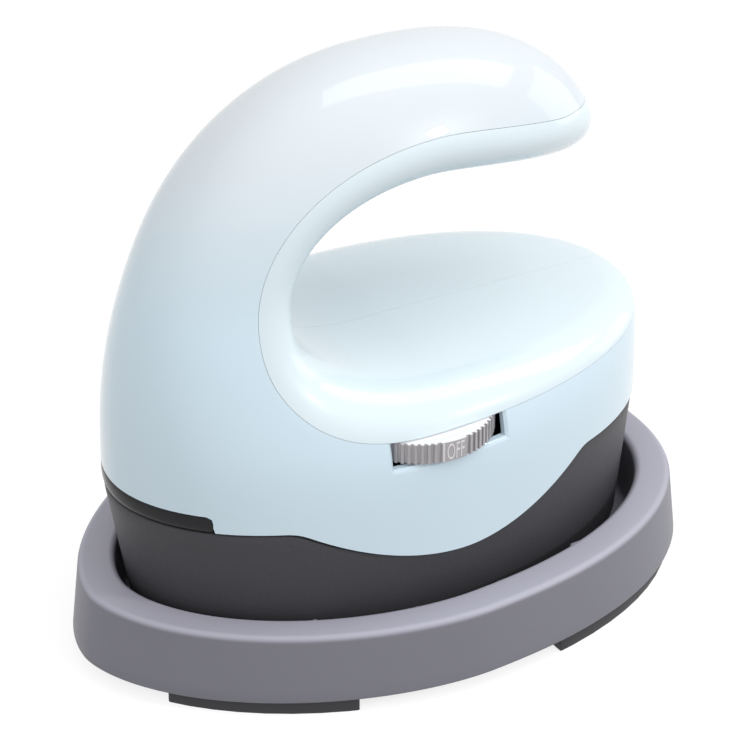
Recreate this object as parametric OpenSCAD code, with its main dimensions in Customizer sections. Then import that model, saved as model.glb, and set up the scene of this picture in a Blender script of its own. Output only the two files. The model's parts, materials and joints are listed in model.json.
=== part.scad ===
// Mini handheld heat press: a C-shaped handle and housing over a heated plate,
// with a thumb dial for the heat level, resting in an insulated tray.
// +X points to the heel (the open end of the C), +Z up, millimetres.
// The origin is the centre of the footprint, on the surface under the tray's feet.

/* [Tray] */
// Room between the skirt and the tray's rim at the nose
nose_room = 4.1; // [3.7:0.1:8]
// Room between the skirt and the tray's rim at the heel
heel_room = 2.3; // [2:0.1:6]
// Room between the skirt and the tray's rim at the sides
side_room = 5.1; // [4.6:0.1:9]
// Height of the tray wall above the feet
tray_h = 17; // [12:0.5:22]
// How far the foot of the tray wall stands out from its top
tray_draft = 1.9; // [0:0.1:2.5]
// Width of the rim at the sides
rim_w = 8.9; // [7.5:0.1:9.5]
// Radius of the rounded rim edges
rim_r = 1.7; // [1:0.1:3.4]
// Wall of the cored rim
tray_wall = 2.2; // [1.6:0.1:2.6]
// Thickness of the tray floor
floor_t = 1.6; // [1.2:0.1:2.4]
// How far the locating ribs stand in from the tray wall
rib_out = 1.2; // [0.6:0.1:1.8]
// Height of the feet
foot_h = 3.6; // [2:0.1:6]
// Width of a foot, measured in from the tray's edge
foot_w = 10; // [6:0.5:14]
// Where the nose feet start, measured from the middle towards the nose
foot_from = 67; // [50:0.5:70]
// Where the nose feet end
foot_to = 32; // [20:0.5:45]
// Half of the space between the nose feet
foot_split = 8; // [4:0.5:14]
// Where the heel foot starts, measured from the middle
foot_heel_x = 18.2; // [5:0.1:40]
// Thickness of the resting pads under the hot plate
pad_t = 0.8; // [0.5:0.1:1.5]
// Radius of a resting pad
pad_r = 7; // [4:0.5:9]

/* [Housing outline] */
// Length of the housing from its centre line to the nose
nose_len = 66.4; // [64:0.1:68]
// Length of the housing from its centre line to the heel
heel_len = 68.6; // [66:0.1:69.2]
// Half of the housing's width
half_w = 42.5; // [40:0.1:43.5]
// Squareness of the outline at the nose
nose_n = 1.95; // [1.8:0.01:2.2]
// Squareness of the outline at the heel
heel_n = 2.12; // [1.9:0.01:2.4]
// Wall of the shell and the covers
wall = 2.2; // [1.6:0.1:2.8]
// Width of the seams between the housing parts
seam_gap = 0.15; // [0.05:0.05:0.3]

/* [Handle] */
// Height above the pressing face where the handle's dome starts
dome_z = 88.9; // [86:0.1:92]
// Height of the dome
dome_h = 42; // [38:0.1:46]
// Reach of the handle to its tip
dome_tip = 59.5; // [56:0.1:64]
// Half of the handle's width
grip_half = 27.1; // [24:0.1:29]
// Height above the pressing face where the housing starts to narrow towards the handle
shoulder_z = 52.1; // [48:0.1:56]
// Softness of the bends where the housing narrows
shoulder_r = 4.1; // [3:0.1:6]
// Squareness of the profile from the nose up over the handle
dome_mn = 2.74; // [2.3:0.01:3.2]
// Squareness of the dome along the handle, tip side
dome_mt = 2.26; // [1.8:0.01:2.6]
// Squareness of the dome across the handle
dome_mc = 2; // [1.8:0.01:2.5]

/* [Finger gap] */
// Where the round end of the gap turns into its straight sides
void_x = 2.3; // [-2:0.1:6]
// Height of the gap's round end above the pressing face
void_z = 79.4; // [78:0.1:81]
// Depth of the gap's round end
void_l = 33.4; // [29:0.1:34]
// Height of the gap above void_z
void_up = 24.9; // [22:0.1:26]
// Depth of the gap below void_z
void_dn = 15.8; // [14:0.1:17]
// How far the deck falls from the round end of the gap to the heel
deck_drop = 2.9; // [0:0.1:3.5]
// Width of the rounding along the deck
deck_rw = 8.7; // [7:0.1:12]
// Height of the rounding along the deck, down to the seam
deck_rh = 7.8; // [6:0.1:8.5]
// Width of the rounding along the handle
grip_rw = 14.4; // [11:0.1:15]
// Height of the rounding along the handle, up to the seam
grip_rh = 11.8; // [9:0.1:13]

/* [Skirt] */
// Height of the skirt's lower edge above the pressing face
skirt_z = 2.8; // [2.7:0.1:3.4]
// How far the skirt draws in at the nose
skirt_nose = 6; // [4:0.1:7]
// How far the skirt draws in at the heel
skirt_heel = 3.4; // [2.8:0.1:4.5]
// How far the skirt draws in at the sides
skirt_side = 3.5; // [2.5:0.1:5]
// Wall of the skirt
skirt_wall = 2; // [1.5:0.1:2.6]
// Height of the shell's lower edge at the nose
apron_nose = 37.3; // [36:0.1:38.5]
// Height of the shell's lower edge at the heel
apron_heel = 37.4; // [35:0.1:38.5]
// Height of the lowest point of the shell's edge at the sides
apron_low = 25.2; // [24.5:0.1:30]
// Height of the dark strip at the nose
strip_h = 4; // [2.5:0.1:5]
// Where the dark strip ends on the sides
strip_x = -55.7; // [-60:0.1:-50]

/* [Hot plate] */
// Thickness of the plate's edge
plate_edge = 2.6; // [2:0.1:2.6]
// Thickness of the plate
plate_t = 4; // [3.5:0.1:5]
// Radius of the heating tube
tube_r = 3.3; // [2.5:0.1:3.4]
// Distance of the heating tube's legs from the centre line
tube_y = 18; // [14:0.5:20]
// Height of the plate's screw posts above the plate
post_h = 16; // [14.5:0.5:17]
// Thickness of the insulation board
board_t = 2.5; // [1.5:0.1:3]
// Thickness of the heat shield
shield_t = 0.6; // [0.4:0.1:1]

/* [Dial] */
// Radius of the dial over its teeth
dial_r = 17.2; // [15:0.1:18]
// Thickness of the dial
dial_t = 5.2; // [4:0.1:5.3]
// Where the dial's axis stands along the housing
dial_x = -4.9; // [-8:0.1:-2]
// How far the dial's axis stands out from the centre line
dial_y = 27; // [26:0.1:28]
// Number of teeth round the dial
dial_teeth = 72; // [48:2:96]
// Depth of the dial's teeth
tooth_d = 0.5; // [0.2:0.05:0.8]
// Radius of the dial's shaft
shaft_r = 3; // [2:0.1:3.5]
// Clearance round the shaft
shaft_gap = 0.05; // [0.02:0.01:0.1]
// Clearance between the dial and the slot
slot_gap = 0.5; // [0.3:0.05:1]

/* [Electrics] */
// Thickness of the circuit board
pcb_t = 1.6; // [1:0.1:2]
// Height of the circuit board over the skirt's deck
pcb_up = 5; // [3:0.5:7]
// Radius of the cord inlet's hole
cord_r = 3.2; // [2.5:0.1:4]
// Height of the cord inlet above the pressing face
cord_z = 45; // [44:0.1:46]
// Radius of the screws' shanks
screw_r = 1.45; // [1.2:0.05:1.6]
// Clearance of a screw in its tapped hole
screw_gap = 0.05; // [0.02:0.01:0.1]
// Radius of a wire
wire_r = 1.1; // [0.8:0.1:1.3]

/* [Hidden] */

$fn = 48;
sides = 72;

// Heights of the tray
tray_z = foot_h;
floor_z = tray_z + floor_t;
pad_z = floor_z + pad_t;
rim_z = tray_z + tray_h;

// The tray follows the skirt at a stated room
tray_nose = nose_len - skirt_nose + nose_room + rim_w;
tray_heel = heel_len - skirt_heel + heel_room + rim_w;
tray_half = half_w - skirt_side + side_room + rim_w;

// Centre lines along X: the tray's box is centred on the origin
tray_cx = (tray_nose - tray_heel) / 2;
body_cx = tray_cx + 0.7;
heel_wall = body_cx + heel_len;
grip_cx = tray_cx + 1.3;
nose_z = 38.5;
void_n = 2.23;

// Squareness of the tray's outline, nose and heel
tray_n1 = 1.735;
tray_n2 = 2.32;

// Heights above the pressing face
deck_z = plate_t + post_h;
deck_t = 2;
floor_top = deck_z + deck_t;
board_z = deck_z - 5.5;
shield_z = board_z + board_t;
pcb_z = floor_top + pcb_up;
parts_z = pcb_z + pcb_t;
seam_z = void_z - void_dn - deck_rh;
dial_top = seam_z - 0.3;
dial_z = dial_top - dial_t;
strip_z = apron_nose + strip_h;
lap_z = strip_z + 1;

blue = "#d6e6ee";
white = "#e9f4f8";
charcoal = "#3c3b40";
grey = "#8f8f9b";

module press() {
    translate([0, 0, pad_z]) children();
}

// ---- outlines -------------------------------------------------------------

function sgn_pow(v, e) = sign(v) * pow(abs(v), e);

// Egg outline: different half lengths and squareness to the nose and to the heel
function egg(xc, to_nose, to_heel, half, n1, n2, k) = [
    for (i = [0:k - 1])
        let (t = 360 * i / k, c = cos(t), s = sin(t), n = c < 0 ? n1 : n2)
        [xc + (c < 0 ? to_nose : to_heel) * sgn_pow(c, 2 / n), half * sgn_pow(s, 2 / n)]
];

function body_egg(in1, in2, in3, k) =
    egg(body_cx, nose_len - in1, heel_len - in2, half_w - in3, nose_n, heel_n, k);

function tray_egg(d, k) =
    egg(tray_cx, tray_nose - d, tray_heel - d, tray_half - (d < 0 ? 0.3 * d : d), tray_n1, tray_n2, k);

// A point of the tray's inner outline, where the rim's width is set by the side
function tray_in(d, k) = egg(tray_cx, tray_nose - rim_w - 0.6 - d,
    tray_heel - rim_w + 0.9 - d, tray_half - rim_w - d, tray_n1 + 0.05, tray_n2, k);

module ring_solid(rings) {
    n = len(rings);
    m = len(rings[0]);
    polyhedron(
        points = [for (r = rings) for (p = r) p],
        faces = concat(
            [[for (j = [0:m - 1]) j]],
            [for (i = [0:n - 2]) for (j = [0:m - 1])
                [i * m + j, (i + 1) * m + j, i * m + (j + 1) % m]],
            [for (i = [0:n - 2]) for (j = [0:m - 1])
                [(i + 1) * m + j, (i + 1) * m + (j + 1) % m, i * m + (j + 1) % m]],
            [[for (j = [0:m - 1]) (n - 1) * m + m - 1 - j]]
        ));
}

function lift(outline, z) = [for (p = outline) [p[0], p[1], z]];

// ---- the C-shaped body ----------------------------------------------------

function ease(t) = let (u = min(max(t, 0), 1)) u * u * (3 - 2 * u);

// Underside of the handle, straight and then drooping to the tip
function under_z(x) = let (r = max(x - void_x, 0))
    void_z + void_up - 0.175 * (sqrt(r * r + 64) - 8) - 0.0011 * r * r;

function deck_fall(x) = deck_drop * min(max(x - void_x, 0) / 58, 1);

function deck_h(x) = void_z - void_dn - deck_fall(x);

// Distance from the finger gap, into the body
function gap_dist(x, z) =
    x >= void_x ? (z > void_z ? z - under_z(x) : deck_h(x) - z) :
    let (
        n = void_n,
        h = z > void_z ? void_up : void_dn,
        u = (void_x - x) / void_l,
        v = (abs(z - void_z) + 0.0001) / h,
        q = pow(pow(u, n) + pow(v, n), 1 / n),
        g = sqrt(pow(pow(u, n - 1) / void_l, 2) + pow(pow(v, n - 1) / h, 2)) / pow(q, n - 1)
    )
    (q - 1) / g;

// How far a place belongs to the handle and its column, and not to the deck
function on_grip(x, z) =
    1 - (1 - ease((z - void_z + 15.8) / 16)) * (1 - ease(-x / 36.6));

function round_h(x, z) = deck_rh + (grip_rh - deck_rh) * on_grip(x, z) - (z < void_z ? deck_fall(x) : 0);

function round_w(x, z) = deck_rw + (grip_rw - deck_rw) * on_grip(x, z);

// A bend of the given softness, from 0 to a slope of 1
function bend(v, r) = r * ln(1 + exp(v / r));

// Level outline of the body at one height: centre, reach to nose and heel, half width, squareness
function level(z, o) =
    let (
        fall = dome_z - z,
        t = min(max(-fall / (dome_h - o), 0), 0.99999),
        rise = min(max((z - nose_z) / (dome_z + dome_h - o - nose_z), 0), 0.99999),
        s = ease(fall / 45),
        slope = (half_w - grip_half) / (dome_z - shoulder_z)
    )
    [grip_cx + (body_cx - grip_cx) * s,
        (nose_len - o) * sqrt(1 - pow(rise, dome_mn)),
        (dome_tip - o) * pow(1 - pow(t, dome_mt), 1 / dome_mt) +
            (heel_len - dome_tip) * ease((fall - 4) / 19.8),
        (grip_half - o + slope * (bend(fall, shoulder_r) - bend(shoulder_z - z, shoulder_r))) *
            pow(1 - pow(t, dome_mc), 1 / dome_mc),
        2.15 + (nose_n - 2.15) * s,
        2.15 + (heel_n - 2.15) * s];

// Half width of the body at a place of its side view; o draws the surface in by a wall
function half_at(x, z, o) = z >= dome_z + dome_h - o ? 0 :
    let (
        h = round_h(x, z) - o,
        e = min(max(1 - (gap_dist(x, z) - o) / h, 0), 1),
        d = (round_w(x, z) - o) * (1 - sqrt(1 - e * e)),
        l = level(z, o),
        nose = x < l[0],
        u = abs(x - l[0]) / max((nose ? l[1] : l[2]) - d, 0.01),
        b = l[3] - d
    )
    u >= 1 || b <= 0 ? 0 : b * pow(1 - pow(u, nose ? l[4] : l[5]), 1 / (nose ? l[4] : l[5]));

low_z = 14;
tip_x = grip_cx + dome_tip - grip_rw - 0.3;
heel_x = body_cx + heel_len - deck_rw;

// Stations round the finger gap: a point on the gap's edge, the edge's normal, and the
// direction of the section, which fans round the tip and round the heel
function edge_dir(a) = [cos(a), sin(a)];

function slope_at(x) = let (r = x - void_x) -0.175 * r / sqrt(r * r + 64) - 0.0022 * r;

tip_a = 90 + atan(slope_at(tip_x));

stations = concat(
    [for (a = [0:6]) [[tip_x, under_z(tip_x)], edge_dir(tip_a), edge_dir(tip_a - 86 * (1 - a / 7))]],
    [for (k = [0:8]) let (x = tip_x + (void_x + 3 - tip_x) * k / 8, a = 90 + atan(slope_at(x)))
        [[x, under_z(x)], edge_dir(a), edge_dir(a)]],
    [for (k = [0:22]) let (
        t = 90 + 180 * k / 22,
        h = t < 180 ? void_up : void_dn,
        p = [void_x - void_l * pow(abs(cos(t)), 2 / void_n), void_z + h * sgn_pow(sin(t), 2 / void_n)],
        g = [-pow(abs(cos(t)), 2 - 2 / void_n) / void_l, sgn_pow(sin(t), 2 - 2 / void_n) / h]
    ) [p, g / norm(g), g / norm(g)]],
    [for (k = [1:7]) let (x = void_x + (heel_x - void_x) * k / 7)
        [[x, deck_h(x)], edge_dir(270), edge_dir(270)]],
    [for (a = [1:6]) [[heel_x, deck_h(heel_x)], edge_dir(270), edge_dir(270 + 87 * a / 6)]]
);

function reach(p, d, o, lo, hi, k) = k == 0 ? lo :
    let (m = (lo + hi) / 2, x = p[0] + d[0] * m, z = p[1] + d[1] * m)
    z > low_z - o && half_at(x, z, o) > 0.01 ?
        reach(p, d, o, m, hi, k - 1) : reach(p, d, o, lo, m, k - 1);

// One section: from the far edge of the near side, round the gap, to the far side's edge
function section(st, o) =
    let (
        p = st[0] + st[1] * o,
        d = st[2],
        end = reach(p, d, o, 0.02, 130, 15),
        m = p + d * 6,
        h = min(round_h(m[0], m[1]) - o, end * 0.6),
        s = concat(
            [for (b = [0:18:90]) h * (1 - cos(b)) + 0.02],
            [for (g = [12, 24, 36, 48, 60, 72, 81, 87.5]) h + (end - h) * sin(g)]
        ),
        k = len(s) - 1
    )
    concat(
        [for (j = [0:k]) let (x = p[0] + d[0] * s[k - j], z = p[1] + d[1] * s[k - j])
            [x, -half_at(x, z, o), z]],
        [for (j = [0:k]) let (x = p[0] + d[0] * s[j], z = p[1] + d[1] * s[j])
            [x, half_at(x, z, o), z]]
    );

module body_solid(o) {
    ring_solid([for (k = [len(stations) - 1:-1:0]) section(stations[k], o)]);
}

// Side view of everything inside the seam, g in from it
seam_stations = [for (k = [8:len(stations) - 7]) stations[k]];

function seam_point(st, g) =
    let (
        a = st[0] + st[1] * round_h(st[0][0], st[0][1]),
        b = st[0] + st[1] * round_h(a[0], a[1])
    )
    st[0] + st[1] * (round_h(b[0], b[1]) - g);

module seam_side(g) {
    q = [for (st = seam_stations) seam_point(st, g)];
    p = [for (k = [1:len(q) - 1]) (q[k - 1] + q[k]) / 2];
    a = p[0];
    b = p[len(p) - 1];
    polygon(concat([[110, a[1] + slope_at(tip_x) * (110 - a[0]) * 0.6]], p, [[110, b[1]]]));
}

module side_slab(depth) {
    rotate([90, 0, 0]) linear_extrude(height = 2 * depth, center = true) children();
}

module wall_solid() {
    difference() {
        body_solid(0);
        body_solid(wall);
    }
}

// Lower edge of the shell, dipping at the sides, level at the nose and near level at the heel
function apron(x) = (apron_raw(x - 2.4) + 2 * apron_raw(x - 1.2) + 3 * apron_raw(x) +
    2 * apron_raw(x + 1.2) + apron_raw(x + 2.4)) / 9;

function apron_raw(x) =
    let (c = body_cx - 0.2, u = (x - c) / (x < c ? 39.3 : 34.5))
    u <= -1 ? apron_nose :
    u >= 1 ? apron_heel - 0.045 * (x - c - 34.5) :
    x < c ? apron_low + (apron_nose - apron_low) * pow(-u, 1.9) :
    apron_low + (apron_heel - apron_low) * pow(u, 1.8);

module apron_side(shift) {
    polygon(concat(
        [[-110, -30], [-110, apron_nose + shift]],
        [for (x = [-44:1:-34]) [x, apron(x) + shift]],
        [for (x = [-32:2:26]) [x, apron(x) + shift]],
        [for (x = [28:1:38]) [x, apron(x) + shift]],
        [[110, apron(110) + shift], [110, -30]]));
}

module wall_band(in1, in2, z1, z2) {
    translate([0, 0, z1]) linear_extrude(height = z2 - z1) difference() {
        polygon(body_egg(in1, in1, in1, sides));
        polygon(body_egg(in2, in2, in2, sides));
    }
}

// ---- tray -----------------------------------------------------------------

module tray_ring(k) {
    r = rim_r;
    top = rim_z;
    out = [for (a = [0:30:90]) [r * (1 - cos(a)), top - r * (1 - sin(a))]];
    inn = [for (a = [90:-30:0]) [r * (1 - cos(a)), top - r * (1 - sin(a))]];
    ring_solid(concat(
        [lift(tray_in(-tray_wall, k), tray_z)],
        [lift(tray_in(-tray_wall, k), top - tray_wall)],
        [lift(tray_egg(tray_wall, k), top - tray_wall)],
        [lift(tray_egg(tray_wall - tray_draft, k), tray_z)],
        [lift(tray_egg(-tray_draft, k), tray_z)],
        [for (p = out) lift(tray_egg(p[0], k), p[1])],
        [for (p = inn) lift(tray_in(-p[0], k), p[1])],
        [lift(tray_in(0.6, k), floor_z + 1.5)],
        [lift(tray_in(2, k), floor_z)]
    ));
}

// Ribs on the inside of the tray's wall, which centre the press
rib_places = [-38, -16, 8, 31];

function tray_in_y(x) = let (c = tray_cx, u = abs(x - c) /
        (x < c ? tray_nose - rim_w - 0.6 : tray_heel - rim_w + 0.9), n = x < c ? tray_n1 + 0.05 : tray_n2)
    (tray_half - rim_w) * pow(1 - pow(u, n), 1 / n);

module stand_tray() {
    color(grey) union() {
        tray_ring(sides);
        for (x = rib_places, m = [0, 1]) mirror([0, m, 0])
            translate([x, tray_in_y(x) - rib_out, 0]) hull() {
                translate([-2.4, 0.6, floor_z - 0.2]) cube([4.8, rib_out + 0.4, rim_z - floor_z - 1.4]);
                translate([-1.4, 0, floor_z - 0.2]) cube([2.8, 1, rim_z - floor_z - 2.4]);
            }
    }
}

// The nose feet's ends run askew, as seen from the near corner
module foot_end(at) {
    translate(at) rotate(57.2) translate([-150, 0]) square([300, 150]);
}

module foot_plan(x1, x2, y1, y2) {
    intersection() {
        difference() {
            polygon(tray_egg(0.6, sides));
            polygon(tray_egg(0.6 + foot_w, sides));
        }
        translate([x1, y1]) square([x2 - x1, y2 - y1]);
    }
}

module foot_nose_near() {
    color(charcoal) linear_extrude(height = foot_h) difference() {
        foot_plan(-tray_nose, -foot_to, -tray_half - 10, -foot_split);
        foot_end([0.8 - foot_from, -19.8]);
    }
}

module foot_nose_far() {
    color(charcoal) linear_extrude(height = foot_h) difference() {
        foot_plan(-tray_nose, -foot_to, foot_split, tray_half + 10);
        mirror([0, 1]) foot_end([0.8 - foot_from, -19.8]);
    }
}

module foot_heel() {
    color(charcoal) linear_extrude(height = foot_h) foot_plan(foot_heel_x, tray_heel + 10, -tray_half - 10, tray_half + 10);
}

module rest_pads() {
    color("dimgray") for (p = [[-44, 0], [-8, 26], [-8, -26], [34, 22], [34, -22]])
        translate([p[0], p[1], floor_z]) cylinder(r = pad_r, h = pad_t);
}

// ---- hot plate and heater -------------------------------------------------

plate_posts = [[-47, 12], [-47, -12], [50, 15], [50, -15]];
clamp_x = [-10, 18];
clamp_y = tube_y + 9.5;
tube_z = plate_t + tube_r;
leg_x = 31;
pin_x = 37;
riser_x = pin_x + 3.5;

function plate_egg(d, k) = body_egg(skirt_nose + 1 + d, skirt_heel + 1 + d, skirt_side + 1 + d, k);

module hot_plate() {
    color("#8d7f78") press() difference() {
        union() {
            linear_extrude(height = plate_edge) polygon(plate_egg(0, sides));
            linear_extrude(height = plate_t) polygon(plate_egg(skirt_wall + 1.5, sides));
            for (p = plate_posts) translate([p[0], p[1], 0]) {
                cylinder(r = 5, h = board_z);
                cylinder(r = 3.4, h = deck_z);
            }
            for (x = clamp_x, m = [-1, 1]) translate([x, m * clamp_y, 0])
                cylinder(r = 4, h = plate_t + 2 * tube_r);
        }
        for (p = plate_posts) translate([p[0], p[1], plate_t]) cylinder(r = screw_r + screw_gap, h = post_h + 1);
        for (x = clamp_x, m = [-1, 1]) translate([x, m * clamp_y, 2]) cylinder(r = screw_r + screw_gap, h = 20);
    }
}

module heating_tube() {
    color("silver") press() translate([0, 0, tube_z]) {
        for (m = [-1, 1]) translate([0, m * tube_y, 0]) {
            translate([-22, 0, 0]) rotate([0, 90, 0]) cylinder(r = tube_r, h = leg_x + 22);
            translate([leg_x, 0, 0]) rotate([0, 90, 0]) cylinder(r = 1.5, h = pin_x - leg_x);
        }
        translate([-22, 0, 0]) rotate([0, 0, 90]) rotate_extrude(angle = 180)
            translate([tube_y, 0]) circle(r = tube_r);
    }
}

module tube_clamps() {
    color("gainsboro") press() for (x = clamp_x)
        translate([x, 0, plate_t + 2 * tube_r]) difference() {
            linear_extrude(height = 1.5) hull() for (m = [-1, 1])
                translate([0, m * clamp_y]) circle(r = 4, $fn = 32);
            for (m = [-1, 1]) translate([0, m * clamp_y, -1]) cylinder(r = screw_r + 0.15, h = 4);
        }
}

module cap_screw(len, head_r = 2.8, head_h = 2, r = screw_r) {
    translate([0, 0, -len]) cylinder(r = r, h = len + 0.01);
    difference() {
        cylinder(r = head_r, h = head_h);
        translate([0, 0, head_h - 1]) cylinder(r = head_r / 2.2, h = 2, $fn = 6);
    }
}

module clamp_screws() {
    color("silver") press() for (x = clamp_x, m = [-1, 1])
        translate([x, m * clamp_y, plate_t + 2 * tube_r + 1.5]) cap_screw(8.5);
}

module thermal_fuse() {
    color("tan") press() {
        translate([-2, 0, plate_t + 2.2]) rotate([0, 90, 0]) cylinder(r = 2.2, h = 12);
        translate([-5, 0, plate_t + 2.2]) rotate([0, 90, 0]) cylinder(r = 0.5, h = 18);
        translate([2, -3.4, plate_t]) cube([4, 6.8, 1.2]);
    }
}

module thermistor() {
    color("goldenrod") press() {
        translate([-26, 0, plate_t]) cylinder(r = 3.5, h = 1);
        translate([-26, 0, plate_t]) cylinder(r = 2.2, h = 3.2);
        translate([-26, -2, plate_t]) cube([9, 4, 2.6]);
    }
}

module layer_plan(d) {
    difference() {
        polygon(plate_egg(skirt_wall + d, sides));
        for (p = plate_posts) translate(p) circle(r = 3.7);
        for (m = [-1, 1]) translate([riser_x, m * tube_y]) circle(r = wire_r + 1.4);
    }
}

module insulation_board() {
    color("ivory") press() translate([0, 0, board_z]) linear_extrude(height = board_t) layer_plan(1.4);
}

module heat_shield() {
    color("silver") press() translate([0, 0, shield_z]) linear_extrude(height = shield_t) layer_plan(2.4);
}

module plate_screws() {
    color("silver") press() for (p = plate_posts)
        translate([p[0], p[1], floor_top]) cap_screw(deck_t + 11);
}

// ---- skirt ----------------------------------------------------------------

housing_posts = [[-44, 20], [-44, -20], [44, 22.5], [44, -22.5]];
pcb_posts = [[-28, -10], [-28, 20], [26, -10], [26, 20]];
bracket_x = 9;
clamp_posts = [[heel_wall - 15.8, 8], [heel_wall - 15.8, -8]];
clamp_top = cord_z - cord_r - 1.8;

module skirt_loft(d, bottom, top) {
    ring_solid([
        for (q = [[bottom, (bottom - 35.6) / (skirt_z - 35.6)], [35.6, 0], [top, 0]])
            lift(body_egg(0.4 + (skirt_nose - 0.4) * q[1] + d, 0.4 + (skirt_heel - 0.4) * q[1] + d,
                0.4 + (skirt_side - 0.4) * q[1] + d, sides), q[0])
    ]);
}

module skirt() {
    color(charcoal) press() difference() {
        union() {
            difference() {
                skirt_loft(0, skirt_z, lap_z);
                skirt_loft(skirt_wall, skirt_z - 1, lap_z + 1);
                side_slab(80) difference() {
                    translate([-120, -50]) square([240, 150]);
                    apron_side(-0.3);
                }
            }
            intersection() {
                skirt_loft(0.35, skirt_z, lap_z + 1);
                wall_band(wall + 0.5, wall + 0.5 + skirt_wall, deck_z, lap_z);
            }
            intersection() {
                skirt_loft(0.5, skirt_z, lap_z);
                translate([0, 0, deck_z]) linear_extrude(height = deck_t)
                    polygon(body_egg(wall + 1, wall + 1, wall + 1, sides));
            }
            for (p = pcb_posts) translate([p[0], p[1], floor_top - 0.5]) {
                cylinder(r = 3, h = pcb_up + 0.5, $fn = 24);
                hull() {
                    cylinder(r = 1, h = pcb_up, $fn = 12);
                    translate([4.5, 0, 0]) cylinder(r = 1, h = 1, $fn = 12);
                }
            }
            for (p = clamp_posts) translate([p[0], p[1], floor_top - 0.5]) {
                cylinder(r = 3.2, h = clamp_top - floor_top + 0.5, $fn = 24);
                for (x = [-5, 5]) hull() {
                    cylinder(r = 1, h = clamp_top - floor_top - 3, $fn = 12);
                    translate([x, 0, 0]) cylinder(r = 1, h = 1, $fn = 12);
                }
            }
        }
        for (p = plate_posts) translate([p[0], p[1], deck_z - 1]) cylinder(r = screw_r + 0.2, h = deck_t + 2, $fn = 24);
        for (p = housing_posts) translate([p[0], p[1], deck_z - 1]) cylinder(r = screw_r + 0.2, h = deck_t + 2, $fn = 24);
        for (p = pcb_posts) translate([p[0], p[1], deck_z + 1]) cylinder(r = 1.15, h = pcb_up + 3, $fn = 24);
        for (p = clamp_posts) translate([p[0], p[1], clamp_top - 9]) cylinder(r = screw_r + screw_gap, h = 10, $fn = 24);
        for (m = [-1, 1]) translate([riser_x, m * tube_y, deck_z - 1]) cylinder(r = wire_r + 1.4, h = deck_t + 2, $fn = 24);
        translate([heel_wall - 8, 0, cord_z]) rotate([0, 90, 0]) cylinder(r = 8.8, h = 20, $fn = 48);
    }
}

module housing_screws() {
    color("silver") press() for (p = housing_posts)
        translate([p[0], p[1], deck_z]) mirror([0, 0, 1]) cap_screw(deck_t + 11);
}

// ---- shell and covers -----------------------------------------------------

slot_x1 = dial_x - 14.5;
slot_x2 = dial_x + 14;
slot_z = dial_z - slot_gap;

module dial_slot() {
    translate([slot_x1, -60, slot_z]) cube([slot_x2 - slot_x1, 30, dial_t + 8]);
    hull() {
        translate([slot_x1, -39.6, slot_z]) cube([slot_x2 - slot_x1, 0.1, dial_t + 8]);
        translate([slot_x1 - 3.2, -45, slot_z - 3.2]) cube([slot_x2 - slot_x1 + 6.4, 0.1, dial_t + 12]);
    }
}

module outer_shell() {
    color(blue) press() difference() {
        union() {
            difference() {
                wall_solid();
                side_slab(80) seam_side(0);
                side_slab(80) apron_side(0);
                difference() {
                    translate([-110, -60, apron_nose - 5]) cube([110 + strip_x, 120, strip_h + 5]);
                }
            }
            for (p = housing_posts) translate([p[0], p[1], 0]) {
                side = sign(p[1]);
                translate([0, 0, floor_top + 0.15]) cylinder(r = 3.4, h = 26, $fn = 32);
                hull() {
                    translate([0, 0, 43]) cylinder(r = 2, h = 5, $fn = 16);
                    translate([0, side * (half_at(p[0], 50, wall) - abs(p[1]) + 0.6), 44])
                        cylinder(r = 1, h = 7, $fn = 16);
                }
                hull() {
                    translate([0, 0, 43]) cylinder(r = 2, h = 5, $fn = 16);
                    translate([sign(p[0]) * 5, side * (half_at(p[0] + sign(p[0]) * 5, 50, wall) - abs(p[1]) + 0.6), 44])
                        cylinder(r = 1, h = 7, $fn = 16);
                }
            }
            translate([heel_wall - 3.6, 0, cord_z]) rotate([0, 90, 0]) cylinder(r = 8.2, h = 3.7, $fn = 48);
        }
        for (p = housing_posts) translate([p[0], p[1], deck_z]) cylinder(r = screw_r + screw_gap, h = 16, $fn = 24);
        dial_slot();
        translate([heel_wall - 10, 0, cord_z]) rotate([0, 90, 0]) cylinder(r = cord_r + 2.5, h = 20, $fn = 48);
    }
}

// Snap tongues of a cover, which reach behind the shell past the seam
tongue_at = [9, 12, 15, 19, 24, 29, 32, 41, 43, 44];

module tongue(k) {
    st = stations[k];
    a = seam_point(st, 0);
    root = a - st[1] * 2.3;
    tip = a + st[1] * 1.4;
    y1 = half_at(root[0], root[1], wall);
    y2 = half_at(tip[0], tip[1], wall);
    for (m = [0, 1]) mirror([0, m, 0]) translate([a[0], 0, a[1]])
        rotate([0, 90 - atan2(st[1][1], st[1][0]), 0]) hull() {
            translate([-2.5, -y1 - 0.8, -3.6]) cube([5, 2, 2.6]);
            translate([-2, -y2 + 0.35, 0.5]) cube([4, 1.1, 1.8]);
        }
}

module cover(near) {
    intersection() {
        union() {
            intersection() {
                wall_solid();
                side_slab(80) seam_side(seam_gap);
            }
            intersection() {
                union() for (k = tongue_at) tongue(k);
                union() {
                    side_slab(80) seam_side(seam_gap);
                    body_solid(wall + 0.12);
                }
            }
        }
        translate([-100, near ? -100 - seam_gap / 2 : seam_gap / 2, 0]) cube([220, 100, 160]);
    }
}

module cover_near() {
    color(white) press() cover(true);
}

module cover_far() {
    color(white) press() cover(false);
}

module nose_strip() {
    color("#26272b") press() intersection() {
        wall_band(0.1, wall - 0.05, apron_nose, strip_z - 0.15);
        translate([-110, -60, 0]) cube([110 + strip_x - 0.15, 120, 100]);
    }
}

// ---- electrics ------------------------------------------------------------

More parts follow.
